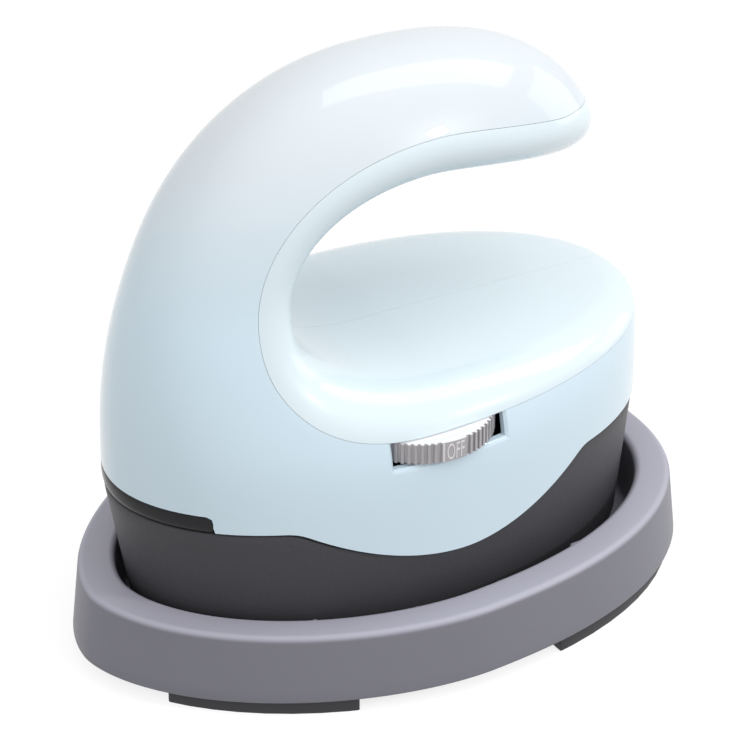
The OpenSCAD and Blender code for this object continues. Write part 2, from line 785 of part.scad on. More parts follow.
module control_board() {
    color("darkgreen") press() {
        difference() {
            translate([-32, -14, pcb_z]) cube([62, 38, pcb_t]);
            for (p = pcb_posts) translate([p[0], p[1], pcb_z - 1]) cylinder(r = 1.3, h = pcb_t + 2);
        }
        translate([-5, -11, parts_z]) cube([10, 6, 1.6]);
        translate([8, -12, parts_z]) cube([5, 4, 1.6]);
    }
}

module board_screws() {
    color("silver") press() for (p = pcb_posts)
        translate([p[0], p[1], parts_z]) cap_screw(pcb_t + pcb_up, 2.2, 1.5, 1.1);
}

module relay() {
    color("royalblue") press() translate([-24, 1, parts_z]) cube([19, 15.5, 15]);
}

module capacitor() {
    color("black") press() {
        translate([-17, -6.5, parts_z]) cylinder(r = 5, h = 13);
    }
}

module terminal_block() {
    color("seagreen") press() difference() {
        translate([15, -5, parts_z]) cube([10, 15, 10]);
        for (y = [0, 5]) translate([20, y, parts_z + 5]) cylinder(r = 1.8, h = 6);
        for (y = [0, 5]) translate([22, y, parts_z + 4]) rotate([0, 90, 0]) cylinder(r = wire_r + 0.1, h = 4);
    }
}

module heat_sink() {
    color("silver") press() {
        translate([-2, 13, parts_z]) cube([14, 2, 18]);
        for (x = [-2, 2, 6, 10]) translate([x, 13, parts_z + 1]) cube([2, 8, 17]);
    }
}

module triac() {
    color("#222222") press() {
        translate([0, 9.6, parts_z + 4]) cube([10, 3.4, 9]);
        for (x = [2.5, 5, 7.5]) translate([x, 11, parts_z]) cylinder(r = 0.45, h = 4.2);
    }
}

pot_z = dial_z - 12.4;
bracket_t = 1.5;

module dial_bracket() {
    color("gainsboro") press() difference() {
        union() {
            translate([dial_x - 10.5, -dial_y - 8, pot_z - bracket_t]) cube([21, 16, bracket_t]);
            for (m = [-1, 1]) translate([dial_x + m * 9.75 - 0.75, -dial_y - 4, floor_top])
                cube([1.5, 8, pot_z - floor_top - 0.5]);
            for (m = [-1, 1]) translate([dial_x + m * 13.5 - 4.5, -dial_y - 4, floor_top]) cube([9, 8, bracket_t]);
        }
        for (m = [-1, 1]) translate([dial_x + m * 14.5, -dial_y, floor_top - 1]) cylinder(r = 1.3, h = 4);
    }
}

module bracket_screws() {
    color("silver") press() for (m = [-1, 1])
        translate([dial_x + m * 14.5, -dial_y, floor_top + bracket_t]) cap_screw(bracket_t, 2.2, 1.5, 1.1);
}

module potentiometer() {
    color("#4a5560") press() translate([dial_x, -dial_y, pot_z]) difference() {
        union() {
            cylinder(r = 8, h = 7);
            cylinder(r = 4.5, h = 9);
        }
        translate([0, 0, 2]) cylinder(r = shaft_r + shaft_gap, h = 10);
    }
}

module cord_gland() {
    color("#3a3a40") press() translate([heel_wall, 0, cord_z]) rotate([0, 90, 0]) difference() {
        union() {
            translate([0, 0, -7.5]) cylinder(r = cord_r + 2.3, h = 8);
            translate([0, 0, 0.1]) cylinder(r = 7.4, h = 1.4);
            translate([0, 0, 1.5]) cylinder(r1 = 7.4, r2 = 6.2, h = 1);
        }
        translate([0, 0, -8]) cylinder(r = cord_r, h = 12);
    }
}

module gland_nut() {
    color("#3a3a40") press() translate([heel_wall - 3.6, 0, cord_z]) rotate([0, -90, 0]) difference() {
        cylinder(r = 8, h = 3, $fn = 6);
        translate([0, 0, -1]) cylinder(r = cord_r + 2.35, h = 5);
    }
}

module cord_clamp() {
    color("gainsboro") press() difference() {
        translate([clamp_posts[0][0] - 3, -11.2, clamp_top]) cube([6, 22.4, 4]);
        for (p = clamp_posts) translate([p[0], p[1], clamp_top - 1]) cylinder(r = screw_r + 0.15, h = 8);
        translate([clamp_posts[0][0] - 12, 0, clamp_top + 0.4]) rotate([0, 90, 0]) cylinder(r = cord_r - 0.6, h = 20);
    }
}

module cord_clamp_screws() {
    color("silver") press() for (p = clamp_posts)
        translate([p[0], p[1], clamp_top + 4]) cap_screw(10);
}

// Points along a smooth curve through hand-chosen route points
function curve(p, k) = [
    for (i = [0:len(p) - 2]) for (j = [0:k - 1])
        let (
            t = j / k,
            a = p[max(i - 1, 0)], b = p[i], c = p[i + 1], d = p[min(i + 2, len(p) - 1)]
        )
        0.5 * (2 * b + (c - a) * t + (2 * a - 5 * b + 4 * c - d) * t * t + (3 * b - a - 3 * c + d) * t * t * t),
    p[len(p) - 1]
];

function unit(v) = v / norm(v);

module tube_along(p, r) {
    n = len(p);
    dirs = [for (i = [0:n - 1]) unit(p[min(i + 1, n - 1)] - p[max(i - 1, 0)])];
    ring_solid([for (i = [0:n - 1])
        let (d = dirs[i], u = unit(cross(d, [0.31, 0.9, 0.2])), v = cross(d, u))
        [for (a = [0:45:315]) p[i] + r * (cos(a) * u + sin(a) * v)]]);
}

module wire(m, y) {
    z0 = parts_z + 4;
    tube_along(curve([[pin_x + 0.45, m * tube_y, tube_z], [pin_x + 2, m * tube_y, tube_z],
        [riser_x, m * tube_y, tube_z + 4], [riser_x, m * tube_y, board_z],
        [riser_x, m * tube_y, floor_top + 1], [riser_x - 1.5, m * (tube_y - 4), z0 - 1.5],
        [riser_x - 6, m * 6 + y / 2, z0], [28, y, z0], [25.3, y, z0], [22.1, y, z0]], 3), wire_r);
}

module wire_live() {
    color("saddlebrown") press() wire(1, 5);
}

module wire_neutral() {
    color("royalblue") press() wire(-1, 0);
}

// ---- dial -----------------------------------------------------------------

module dial_wheel() {
    color("#a3a2aa") press() translate([dial_x, -dial_y, dial_z]) difference() {
        union() {
            linear_extrude(height = dial_t) difference() {
                circle(r = dial_r - tooth_d);
                circle(r = dial_r - 4);
            }
            linear_extrude(height = dial_t) intersection() {
                circle(r = dial_r);
                union() {
                    for (i = [0:dial_teeth - 1])
                        if (abs(((i + 0.5) * 360 / dial_teeth + 90) % 360 - 180) > 0)
                            rotate((i + 0.5) * 360 / dial_teeth)
                                translate([dial_r - 2, -dial_r * 1.45 / dial_teeth]) square([4, dial_r * 2.9 / dial_teeth]);
                    rotate(-101) translate([dial_r - 2, -0.1]) square([4, 6.6]);
                }
            }
            translate([0, 0, 1.6]) cylinder(r = dial_r - 3.5, h = 2);
            translate([0, 0, -2]) cylinder(r = shaft_r + 2.2, h = dial_t - 0.8 + 2);
        }
        translate([0, 0, -3]) cylinder(r = shaft_r, h = 20);
    }
}

module dial_shaft() {
    color("silver") press() translate([dial_x, -dial_y, pot_z + 2.2])
        cylinder(r = shaft_r, h = dial_top - 1 - pot_z - 2.2);
}

stand_tray();
foot_nose_near();
foot_nose_far();
foot_heel();
rest_pads();
hot_plate();
heating_tube();
tube_clamps();
clamp_screws();
thermal_fuse();
thermistor();
insulation_board();
heat_shield();
plate_screws();
skirt();
housing_screws();
outer_shell();
cover_near();
cover_far();
nose_strip();
control_board();
board_screws();
relay();
capacitor();
terminal_block();
heat_sink();
triac();
dial_bracket();
bracket_screws();
potentiometer();
cord_gland();
gland_nut();
cord_clamp();
cord_clamp_screws();
wire_live();
wire_neutral();
dial_wheel();
dial_shaft();
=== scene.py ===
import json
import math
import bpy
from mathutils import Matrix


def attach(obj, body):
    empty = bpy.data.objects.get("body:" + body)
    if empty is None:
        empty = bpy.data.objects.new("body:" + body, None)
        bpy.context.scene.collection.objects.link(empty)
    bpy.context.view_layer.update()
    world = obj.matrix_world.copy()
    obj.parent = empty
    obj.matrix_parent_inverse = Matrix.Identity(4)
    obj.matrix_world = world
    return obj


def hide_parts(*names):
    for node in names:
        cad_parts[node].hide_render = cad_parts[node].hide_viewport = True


bl_info = {
    "name": "Mini Heat Press",
    "version": (1, 0, 0),
    "blender": (4, 5, 0),
    "location": "View3D > Sidebar > Heat Press",
    "description": "Builds the looks of a small handheld heat press in its insulated tray",
    "category": "Add Mesh",
}

import bmesh
import bpy
import numpy as np
from bpy.props import FloatProperty, FloatVectorProperty, IntProperty, PointerProperty
from mathutils import Matrix, Vector

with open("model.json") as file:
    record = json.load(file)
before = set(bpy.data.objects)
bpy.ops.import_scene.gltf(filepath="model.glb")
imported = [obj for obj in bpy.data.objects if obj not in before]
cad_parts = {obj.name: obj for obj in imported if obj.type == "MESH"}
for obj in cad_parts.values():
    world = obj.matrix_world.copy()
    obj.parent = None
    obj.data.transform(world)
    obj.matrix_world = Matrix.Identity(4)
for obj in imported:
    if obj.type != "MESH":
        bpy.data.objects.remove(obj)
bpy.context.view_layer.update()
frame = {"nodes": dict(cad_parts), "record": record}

MM = 0.001
FACE_Z = 6.0  # the pressing face stands this far above the ground, in mm


# ---- the sizes and colours that a user may change --------------------------


def size(name, text, value):
    """A length that is given in millimetres"""
    return FloatProperty(name=name, description=text, default=value * MM, precision=5, unit="LENGTH")


def shape(name, text, value):
    """A squareness: 2 gives an ellipse, and more is squarer"""
    return FloatProperty(name=name, description=text, default=value, min=1.0, max=4.0)


def colour(name, text, value):
    return FloatVectorProperty(
        name=name, description=text, default=value, size=3, min=0, max=1, subtype="COLOR"
    )


def angle(name, text, degrees):
    return FloatProperty(name=name, description=text, default=math.radians(degrees), subtype="ANGLE")


def strength(name, text, value):
    return FloatProperty(name=name, description=text, default=value, min=0)


class HousingSizes(bpy.types.PropertyGroup):
    """The C-shaped housing and its finger gap"""

    nose_len: size("Nose length", "From the centre line to the nose", 66.4)
    heel_len: size("Heel length", "From the centre line to the heel", 68.6)
    half_w: size("Half width", "Half of the housing's width", 42.5)
    dome_z: size("Dome start", "Height above the pressing face where the handle's dome starts", 88.9)
    dome_h: size("Dome height", "Height of the dome", 42.0)
    dome_tip: size("Tip reach", "Reach of the handle to its tip", 59.5)
    grip_half: size("Half grip", "Half of the handle's width", 27.1)
    shoulder_z: size("Shoulder", "Height where the housing starts to narrow", 52.1)
    shoulder_r: size("Shoulder softness", "Softness of the bends where it narrows", 4.1)
    void_x: size("Gap turn", "Where the round end of the gap turns into its straight sides", 2.3)
    void_z: size("Gap height", "Height of the gap's round end", 79.4)
    void_l: size("Gap depth", "Depth of the gap's round end", 33.4)
    void_up: size("Gap above", "Height of the gap above its middle", 24.9)
    void_dn: size("Gap below", "Depth of the gap below its middle", 15.8)
    deck_drop: size("Deck fall", "How far the deck falls towards the heel", 2.9)
    deck_rw: size("Deck rounding width", "Width of the rounding along the deck", 8.7)
    deck_rh: size("Deck rounding height", "Height of the rounding along the deck", 7.8)
    grip_rw: size("Handle rounding width", "Width of the rounding along the handle", 14.4)
    grip_rh: size("Handle rounding height", "Height of the rounding along the handle", 11.8)
    nose_z: size("Nose start", "Height where the nose starts to lean back", 38.5)
    wall: size("Wall", "Wall of the shell and the covers", 2.2)
    seam_gap: size("Seam", "Width of the seams", 0.07)
    apron_nose: size("Edge at the nose", "Height of the shell's lower edge at the nose", 37.3)
    apron_heel: size("Edge at the heel", "Height of the shell's lower edge where the heel begins", 37.4)
    apron_low: size("Lowest edge", "Height of the shell's edge where it dips lowest", 25.2)
    strip_h: size("Strip height", "Height of the dark strip at the nose", 4.0)
    strip_x: size("Strip end", "Where the dark strip ends on the sides", -55.7)
    nose_n: shape("Nose squareness", "Squareness of the outline at the nose", 1.95)
    heel_n: shape("Heel squareness", "Squareness of the outline at the heel", 2.12)
    void_n: shape("Gap squareness", "Squareness of the gap's round end", 2.23)
    dome_mn: shape("Profile squareness", "Squareness of the profile from the nose up", 2.74)
    dome_mt: shape("Tip squareness", "Squareness of the dome towards the tip", 2.26)
    dome_mc: shape("Dome squareness", "Squareness of the dome across the handle", 2.0)


class SkirtSizes(bpy.types.PropertyGroup):
    """The dark skirt under the housing"""

    skirt_z: size("Lower edge", "Height of the skirt's lower edge", 2.8)
    skirt_nose: size("Draw at the nose", "How far the skirt draws in at the nose", 6.0)
    skirt_heel: size("Draw at the heel", "How far the skirt draws in at the heel", 3.4)
    skirt_side: size("Draw at the sides", "How far the skirt draws in at the sides", 3.5)
    skirt_wall: size("Wall", "Wall of the skirt", 2.0)


class TraySizes(bpy.types.PropertyGroup):
    """The insulated tray and its feet"""

    tray_nose: size("Nose length", "From the centre line to the nose", 73.4)
    tray_heel: size("Heel length", "From the centre line to the heel", 76.4)
    tray_half: size("Half width", "Half of the tray's width", 53.0)
    tray_h: size("Height", "Height of the wall above the feet", 17.0)
    tray_draft: size("Draft", "How far the wall's foot stands out from its top", 1.9)
    rim_w: size("Rim width", "Width of the rim at the sides", 8.9)
    rim_r: size("Rim rounding", "Radius of the rim's edges", 1.7)
    tray_wall: size("Wall", "Wall of the cored rim", 2.2)
    floor_t: size("Floor", "Thickness of the floor", 1.6)
    rib_out: size("Rib", "How far the ribs stand in from the wall", 1.2)
    foot_h: size("Foot height", "Height of the feet", 3.6)
    tray_n1: shape("Nose squareness", "Squareness of the outline at the nose", 1.735)
    tray_n2: shape("Heel squareness", "Squareness of the outline at the heel", 2.32)


class DialSizes(bpy.types.PropertyGroup):
    """The thumb dial and its slot"""

    dial_r: size("Radius", "Radius over the teeth", 17.2)
    dial_t: size("Thickness", "Thickness of the dial", 5.2)
    dial_x: size("Along", "Where the axis stands along the housing", -4.9)
    dial_y: size("Out", "How far the axis stands out from the centre line", 27.0)
    tooth_d: size("Tooth", "Depth of the teeth", 0.5)
    slot_gap: size("Slot gap", "Clearance between the dial and its slot", 0.5)
    teeth: IntProperty(
        name="Teeth", description="Number of teeth round the dial", default=72, min=24, max=120
    )


class PressColours(bpy.types.PropertyGroup):
    """Colours of the visible plastics"""

    shell: colour("Outer shell", "Pale blue of the outer shell", (0.63, 0.77, 0.86))
    # painted light: a greyer, less blue tone for the handle's top, where the light washes the shell's blue
    # out
    crown: colour("Handle's top", "Whiter tone of the shell at the handle's top", (0.65, 0.70, 0.74))
    cover: colour("Covers", "Whiter blue of the covers round the finger gap", (0.68, 0.78, 0.83))
    skirt: colour("Skirt", "Charcoal of the skirt", (0.054, 0.053, 0.060))
    strip: colour("Strip", "Near black of the nose strip", (0.012, 0.012, 0.014))
    tray: colour("Tray", "Grey of the insulated tray", (0.193, 0.191, 0.226))
    feet: colour("Feet", "Dark grey of the feet", (0.018, 0.0175, 0.021))
    dial: colour("Dial", "Satin grey of the dial", (0.40, 0.385, 0.40))
    # painted light: the pale tone of the dial's upward faces, for the light that falls on them
    dial_top: colour("Dial's top", "Pale satin of the dial's upper face", (0.86, 0.86, 0.88))
    print_grey: colour("Lettering", "Pale grey of the dial's lettering", (0.72, 0.70, 0.72))


class StageSettings(bpy.types.PropertyGroup):
    """Camera, light and floor"""

    lens: FloatProperty(
        name="Lens", description="Focal length in mm", default=154.57, unit="CAMERA", precision=3
    )
    azimuth: angle("Azimuth", "Camera's turn round the press", -32.804)
    elevation: angle("Elevation", "Camera's height over the horizon", 30.887)
    distance: size("Distance", "Camera's distance along its axis", 762.602)
    key_watts: strength("Key light", "Power of the key light", 2.4)
    strip_watts: strength("Strip light", "Power of the tall strip light at the right", 2.1)
    front_watts: strength("Front light", "Power of the soft light above the near side", 1.3)
    side_watts: strength("Side light", "Power of the low light beyond the heel", 0.85)
    fill_watts: strength("Fill lights", "Power of each of the two soft fill lights", 1.5)
    sky: strength("Surround", "Strength of the pale surround", 0.62)


class HeatPress(bpy.types.PropertyGroup):
    """All settings of the press"""

    housing: PointerProperty(type=HousingSizes, name="Housing", description="Sizes of the housing")
    skirt: PointerProperty(type=SkirtSizes, name="Skirt", description="Sizes of the skirt")
    tray: PointerProperty(type=TraySizes, name="Tray", description="Sizes of the tray")
    dial: PointerProperty(type=DialSizes, name="Dial", description="Sizes of the dial")
    colours: PointerProperty(type=PressColours, name="Colours", description="Colours of the plastics")
    stage: PointerProperty(type=StageSettings, name="Stage", description="Camera, light and floor")


class Plain:
    """A copy of a settings group in millimetres, with its bare ratios as they are"""

    def __init__(self, *groups):
        for group in groups:
            for key, prop in group.bl_rna.properties.items():
                if key in ("rna_type", "name"):
                    continue
                value = getattr(group, key)
                setattr(self, key, value / MM if getattr(prop, "unit", "") == "LENGTH" else value)


def sizes(context):
    press = context.scene.heat_press
    return Plain(press.housing, press.skirt, press.tray, press.dial)


# ---- outlines and the body's rule, in millimetres --------------------------

BODY_SHIFT = 0.7  # the housing's centre stands this far from the tray's, towards the heel
GRIP_SHIFT = 1.3  # and the handle's this far
DIAL_DROP = 0.3  # the dial's top lies this far below the seam
TIP_INSET = 0.3  # the tip's rounding starts this far inside the handle's reach
UNDER_FALL = 0.175  # slope that the handle's underside tends to
UNDER_TURN = 8.0  # length over which that slope sets in
UNDER_BOW = 0.0011  # further fall, with the square of the distance
DECK_RUN = 58.0  # length over which the deck falls
GRIP_LOW = 15.8  # the handle's rounding sets in this far below the gap's middle
GRIP_RISE = 16.0  # and is full this much higher
GRIP_RUN = 36.6  # or this far from the centre, towards the nose
GRIP_N = 2.15  # squareness of the handle's outline
TAPER_DROP = 45.0  # the handle's outline turns into the housing's over this drop below the dome
HEEL_START = 4.0  # the heel starts to reach out this far below the dome
HEEL_DROP = 19.8  # and takes this drop for it
EDGE_SHIFT = 0.2  # the edge is lowest this far from the housing's centre, towards the nose
EDGE_NOSE, EDGE_NOSE_N = 39.3, 1.9  # reach and power of the edge's rise towards the nose
EDGE_HEEL, EDGE_HEEL_N = 34.5, 1.8  # and towards the heel
EDGE_FALL = 0.045  # slope of the edge beyond that rise, at the heel
EDGE_EASE = ((-2.4, 1), (-1.2, 2), (0, 3), (1.2, 2), (2.4, 1))  # places and weights of its easing
STRIP_CORNER = 1.3  # radius of the nose strip's upper corners and of their notch
OUTLINE_SIDES = 288  # corners of the tray's and the skirt's outlines
NEAR_ONE = 0.99999  # keeps a root above 0 at the dome's top
PROBE = 0.02  # step along a ray that tests what lies beyond
RAY_LIMIT = 150.0  # longer than any ray inside the body


def ease(t):
    t = np.clip(t, 0, 1)
    return t * t * (3 - 2 * t)


def bend(v, r):
    """0 below 0 and v above it, with a soft turn of about r between"""
    return r * np.logaddexp(0, v / r)


def heading(degrees):
    a = np.radians(degrees)
    return np.stack([np.cos(a), np.sin(a)], -1)


def signed_power(v, e):
    return np.sign(v) * np.abs(v) ** e


def egg(centre, to_nose, to_heel, half, nose_n, heel_n):
    """Egg outline as (x, y) arrays; the half lengths may be arrays, one value for each corner"""
    t = 2 * np.pi * np.arange(OUTLINE_SIDES) / OUTLINE_SIDES
    c, s = np.cos(t), np.sin(t)
    n = np.where(c < 0, nose_n, heel_n)
    x = centre + np.where(c < 0, to_nose, to_heel) * signed_power(c, 2 / n)
    return x, half * signed_power(s, 2 / n)


class Body:
    """The C-shaped body: half its width at any place of its side view"""

    def __init__(self, s):
        self.__dict__.update(s.__dict__)
        self.tray_cx = (s.tray_nose - s.tray_heel) / 2
        self.body_cx = self.tray_cx + BODY_SHIFT
        self.grip_cx = self.tray_cx + GRIP_SHIFT
        self.seam_z = s.void_z - s.void_dn - s.deck_rh
        self.strip_z = s.apron_nose + s.strip_h
        self.dial_z = self.seam_z - DIAL_DROP - s.dial_t
        self.tip_x = self.grip_cx + s.dome_tip - s.grip_rw - TIP_INSET
        self.heel_x = self.body_cx + s.heel_len - s.deck_rw
        self.tip_a = 90 + math.degrees(math.atan(self.slope(self.tip_x)))

    def under(self, x):
        """Height of the handle's underside"""
        r = np.maximum(x - self.void_x, 0)
        fall = UNDER_FALL * (np.sqrt(r * r + UNDER_TURN**2) - UNDER_TURN)
        return self.void_z + self.void_up - fall - UNDER_BOW * r * r

    def slope(self, x):
        """Slope of the handle's underside"""
        r = x - self.void_x
        return -UNDER_FALL * r / np.sqrt(r * r + UNDER_TURN**2) - 2 * UNDER_BOW * r

    def fall(self, x):
        """How far the deck has fallen"""
        return self.deck_drop * np.clip((x - self.void_x) / DECK_RUN, 0, 1)

    def deck(self, x):
        """Height of the deck"""
        return self.void_z - self.void_dn - self.fall(x)

    def gap(self, x, z):
        """Distance from the finger gap's edge, below 0 inside the gap"""
        n = self.void_n
        h = np.where(z > self.void_z, self.void_up, self.void_dn)
        u = np.maximum(self.void_x - x, 0) / self.void_l
        v = (np.abs(z - self.void_z) + 0.0001) / h
        q = (u**n + v**n) ** (1 / n)
        g = np.sqrt((u ** (n - 1) / self.void_l) ** 2 + (v ** (n - 1) / h) ** 2) / q ** (n - 1)
        straight = np.where(z > self.void_z, z - self.under(x), self.deck(x) - z)
        return np.where(x >= self.void_x, straight, (q - 1) / g)

    def on_grip(self, x, z):
        """1 where the handle's rounding holds, and 0 where the deck's does"""
        return 1 - (1 - ease((z - self.void_z + GRIP_LOW) / GRIP_RISE)) * (1 - ease(-x / GRIP_RUN))

    def round_h(self, x, z):
        """Height of the rounding"""
        height = self.deck_rh + (self.grip_rh - self.deck_rh) * self.on_grip(x, z)
        return height - np.where(z < self.void_z, self.fall(x), 0)

    def round_w(self, x, z):
        """Width of the rounding"""
        return self.deck_rw + (self.grip_rw - self.deck_rw) * self.on_grip(x, z)

    def level(self, z):
        """The outline at a height: centre, reach to nose and tip, half width and squareness at both"""
        fall = self.dome_z - z
        t = np.clip(-fall / self.dome_h, 0, NEAR_ONE)
        rise = (z - self.nose_z) / (self.dome_z + self.dome_h - self.nose_z)
        rise = np.clip(rise, 0, NEAR_ONE)
        s = ease(fall / TAPER_DROP)
        slope = (self.half_w - self.grip_half) / (self.dome_z - self.shoulder_z)
        to_nose = self.nose_len * np.sqrt(1 - rise**self.dome_mn)
        to_tip = self.dome_tip * (1 - t**self.dome_mt) ** (1 / self.dome_mt)
        to_tip = to_tip + (self.heel_len - self.dome_tip) * ease((fall - HEEL_START) / HEEL_DROP)
        widening = bend(fall, self.shoulder_r) - bend(self.shoulder_z - z, self.shoulder_r)
        half = self.grip_half + slope * widening
        half = half * (1 - t**self.dome_mc) ** (1 / self.dome_mc)
        centre = self.grip_cx + (self.body_cx - self.grip_cx) * s
        squareness = [GRIP_N + (n - GRIP_N) * s for n in (self.nose_n, self.heel_n)]
        return centre, to_nose, to_tip, half, *squareness

    def half_at(self, x, z):
        """Half the body's width at a place of the side view, 0 outside it"""
        e = np.clip(1 - self.gap(x, z) / self.round_h(x, z), 0, 1)
        d = self.round_w(x, z) * (1 - np.sqrt(1 - e * e))
        c, to_nose, to_tip, half, n1, n2 = self.level(z)
        nose = x < c
        u = np.abs(x - c) / np.maximum(np.where(nose, to_nose, to_tip) - d, 0.01)
        n = np.where(nose, n1, n2)
        y = np.maximum(half - d, 0) * np.maximum(1 - np.minimum(u, 1) ** n, 0) ** (1 / n)
        return np.where((u >= 1) | (half <= d) | (z >= self.dome_z + self.dome_h), 0, y)

    def apron(self, x):
        """Lower edge of the shell, its bends eased"""
        x = np.asarray(x, float)
        total = sum(weight for _, weight in EDGE_EASE)
        return sum(weight * self.apron_raw(x + place) for place, weight in EDGE_EASE) / total

    def apron_raw(self, x):
        """The same edge before its bends are eased"""
        c = self.body_cx - EDGE_SHIFT
        v = np.clip(np.abs((x - c) / np.where(x < c, EDGE_NOSE, EDGE_HEEL)), 0, 1)
        left = self.apron_low + (self.apron_nose - self.apron_low) * v**EDGE_NOSE_N
        right = self.apron_low + (self.apron_heel - self.apron_low) * v**EDGE_HEEL_N
        return np.where(x < c, left, right - EDGE_FALL * np.maximum(x - c - EDGE_HEEL, 0))

    def shell_edge(self, x):
        """The eased edge with the notch that the dark strip fills, its corner rounded"""
        r = STRIP_CORNER
        d = self.strip_x - x
        corner = self.strip_z - r + np.sqrt(np.maximum(r * r - np.maximum(r - d, 0) ** 2, 0))
        return np.where(d <= 0, self.apron(x), np.where(d < r, corner, self.strip_z))

    def rays(self, t):
        """Rays that sweep the side view: places on the gap's edge, the normals there and the rays

        t runs over 0..1 round the tip, 1..2 under the handle, 2..3 round the gap's end,
        3..4 along the deck and 4..5 round the heel.
        """
        place, normal, ray = np.zeros((3, len(t), 2))
        k = t < 1
        place[k] = [self.tip_x, self.under(self.tip_x)]
        normal[k] = heading(self.tip_a)
        ray[k] = heading(self.tip_a - 90 * (1 - t[k]))
        k = (t >= 1) & (t < 2)
        x = self.tip_x + (self.void_x - self.tip_x) * (t[k] - 1)
        place[k] = np.stack([x, self.under(x)], -1)
        normal[k] = ray[k] = heading(90 + np.degrees(np.arctan(self.slope(x))))
        k = (t >= 2) & (t < 3)
        a = np.radians(90 + 180 * (t[k] - 2))
        n, c, s = self.void_n, np.abs(np.cos(a)), np.sin(a)
        h = np.where(s > 0, self.void_up, self.void_dn)
        x = self.void_x - self.void_l * c ** (2 / n)
        place[k] = np.stack([x, self.void_z + h * signed_power(s, 2 / n)], -1)
        g = np.stack([-(c ** (2 - 2 / n)) / self.void_l, signed_power(s, 2 - 2 / n) / h], -1)
        normal[k] = ray[k] = g / np.linalg.norm(g, axis=1)[:, None]
        k = (t >= 3) & (t < 4)
        x = self.void_x + (self.heel_x - self.void_x) * (t[k] - 3)
        place[k] = np.stack([x, self.deck(x)], -1)
        normal[k] = ray[k] = [0, -1]
        k = t >= 4
        place[k] = [self.heel_x, self.deck(self.heel_x)]
        normal[k] = [0, -1]
        ray[k] = heading(270 + 90 * (t[k] - 4))
        return place, normal, ray

    def seam_reach(self, place, normal):
        """How far the seam lies from the gap's edge, along the normal"""
        reach = self.round_h(*place.T)
        for _ in range(2):
            reach = self.round_h(*(place + normal * reach[:, None]).T)
        return reach

    def reach(self, place, ray):
        """How far each ray runs before it leaves the body or passes the shell's lower edge"""
        near, far = np.full(len(place), PROBE), np.full(len(place), RAY_LIMIT)
        for _ in range(44):
            m = (near + far) / 2
            x, z = (place + ray * m[:, None]).T
            inside = (self.half_at(x, z) > 1e-3) & (z > self.shell_edge(x))
            near, far = np.where(inside, m, near), np.where(inside, far, m)
        return near


# ---- mesh helpers ------------------------------------------------------------

WELD = 0.0004 * MM  # corners closer than this become one


class Edited:
    """A mesh opened as a bmesh and written back at the end"""

    def __init__(self, mesh):
        self.mesh = mesh
        self.bm = bmesh.new()
        self.bm.from_mesh(mesh)

    def __enter__(self):
        return self.bm

    def __exit__(self, *problem):
        self.bm.to_mesh(self.mesh)
        self.bm.free()


def make_object(name, mesh):
    obj = bpy.data.objects.new(name, mesh)
    bpy.context.scene.collection.objects.link(obj)
    return obj


def mesh_of(name, points, faces):
    mesh = bpy.data.meshes.new(name)
    mesh.from_pydata((np.asarray(points, float) * MM).tolist(), [], faces)
    return mesh


def grid_faces(rows, cols, start=0, wrap=False):
    out = []
    for i in range(rows - 1):
        a, b = start + i * cols, start + (i + 1) * cols
        for j in range(cols if wrap else cols - 1):
            k = (j + 1) % cols
            out.append((a + j, a + k, b + k, b + j))
    return out


def clean(bm):
    """Welds a shape and drops its loose corners"""
    bmesh.ops.remove_doubles(bm, verts=bm.verts, dist=WELD)
    bmesh.ops.dissolve_degenerate(bm, edges=bm.edges, dist=WELD)
    loose = [v for v in bm.verts if not v.link_faces]
    bmesh.ops.delete(bm, geom=loose, context="VERTS")


def soften(mesh, degrees=32):
    """Smooth shading with hard edges where the surface turns by more than an angle"""
    limit = math.radians(degrees)
    with Edited(mesh) as bm:
        for face in bm.faces:
            face.smooth = True
        for edge in bm.edges:
            edge.smooth = len(edge.link_faces) == 2 and edge.calc_face_angle(0) < limit


def closed(mesh):
    """Welds a closed shape and points its faces outwards"""
    with Edited(mesh) as bm:
        clean(bm)
        bmesh.ops.recalc_face_normals(bm, faces=bm.faces)


def face_against(bm, axis):
    """Points the faces of an open sheet against an axis: 0 is x and 1 is y"""
    bmesh.ops.recalc_face_normals(bm, faces=bm.faces)
    if sum(f.normal[axis] * f.calc_area() for f in bm.faces) > 0:
        bmesh.ops.reverse_faces(bm, faces=bm.faces)


def settle(obj):
    """Turns an object's modifiers into its plain mesh"""
    bpy.context.view_layer.update()
    graph = bpy.context.evaluated_depsgraph_get()
    mesh = bpy.data.meshes.new_from_object(obj.evaluated_get(graph), depsgraph=graph)
    obj.modifiers.clear()
    obj.data = mesh
    return obj


def thicken(obj, wall):
    """Gives an outer surface its wall, inwards"""
    solid = obj.modifiers.new("wall", "SOLIDIFY")
    solid.thickness = wall * MM
    solid.offset = -1
    solid.use_quality_normals = True
    return settle(obj)


def round_edges(obj, width, degrees, segments):
    edge = obj.modifiers.new("edges", "BEVEL")
    edge.width = width * MM
    edge.segments = segments
    edge.limit_method = "ANGLE"
    edge.angle_limit = math.radians(degrees)
    edge.use_clamp_overlap = True
    return settle(obj)


def loft(name, rings, capped=True):
    """Closed solid through rings of equal counts, each an (n, 3) array"""
    count = len(rings[0])
    faces = grid_faces(len(rings), count, wrap=True)
    if capped:
        faces.append(tuple(range(count)))
        faces.append(tuple((len(rings) - 1) * count + j for j in range(count)))
    mesh = mesh_of(name, np.concatenate(rings), faces)
    closed(mesh)
    return mesh


def ring(outline, z):
    x, y = outline
    return np.stack([x, y, np.broadcast_to(z, x.shape)], -1)


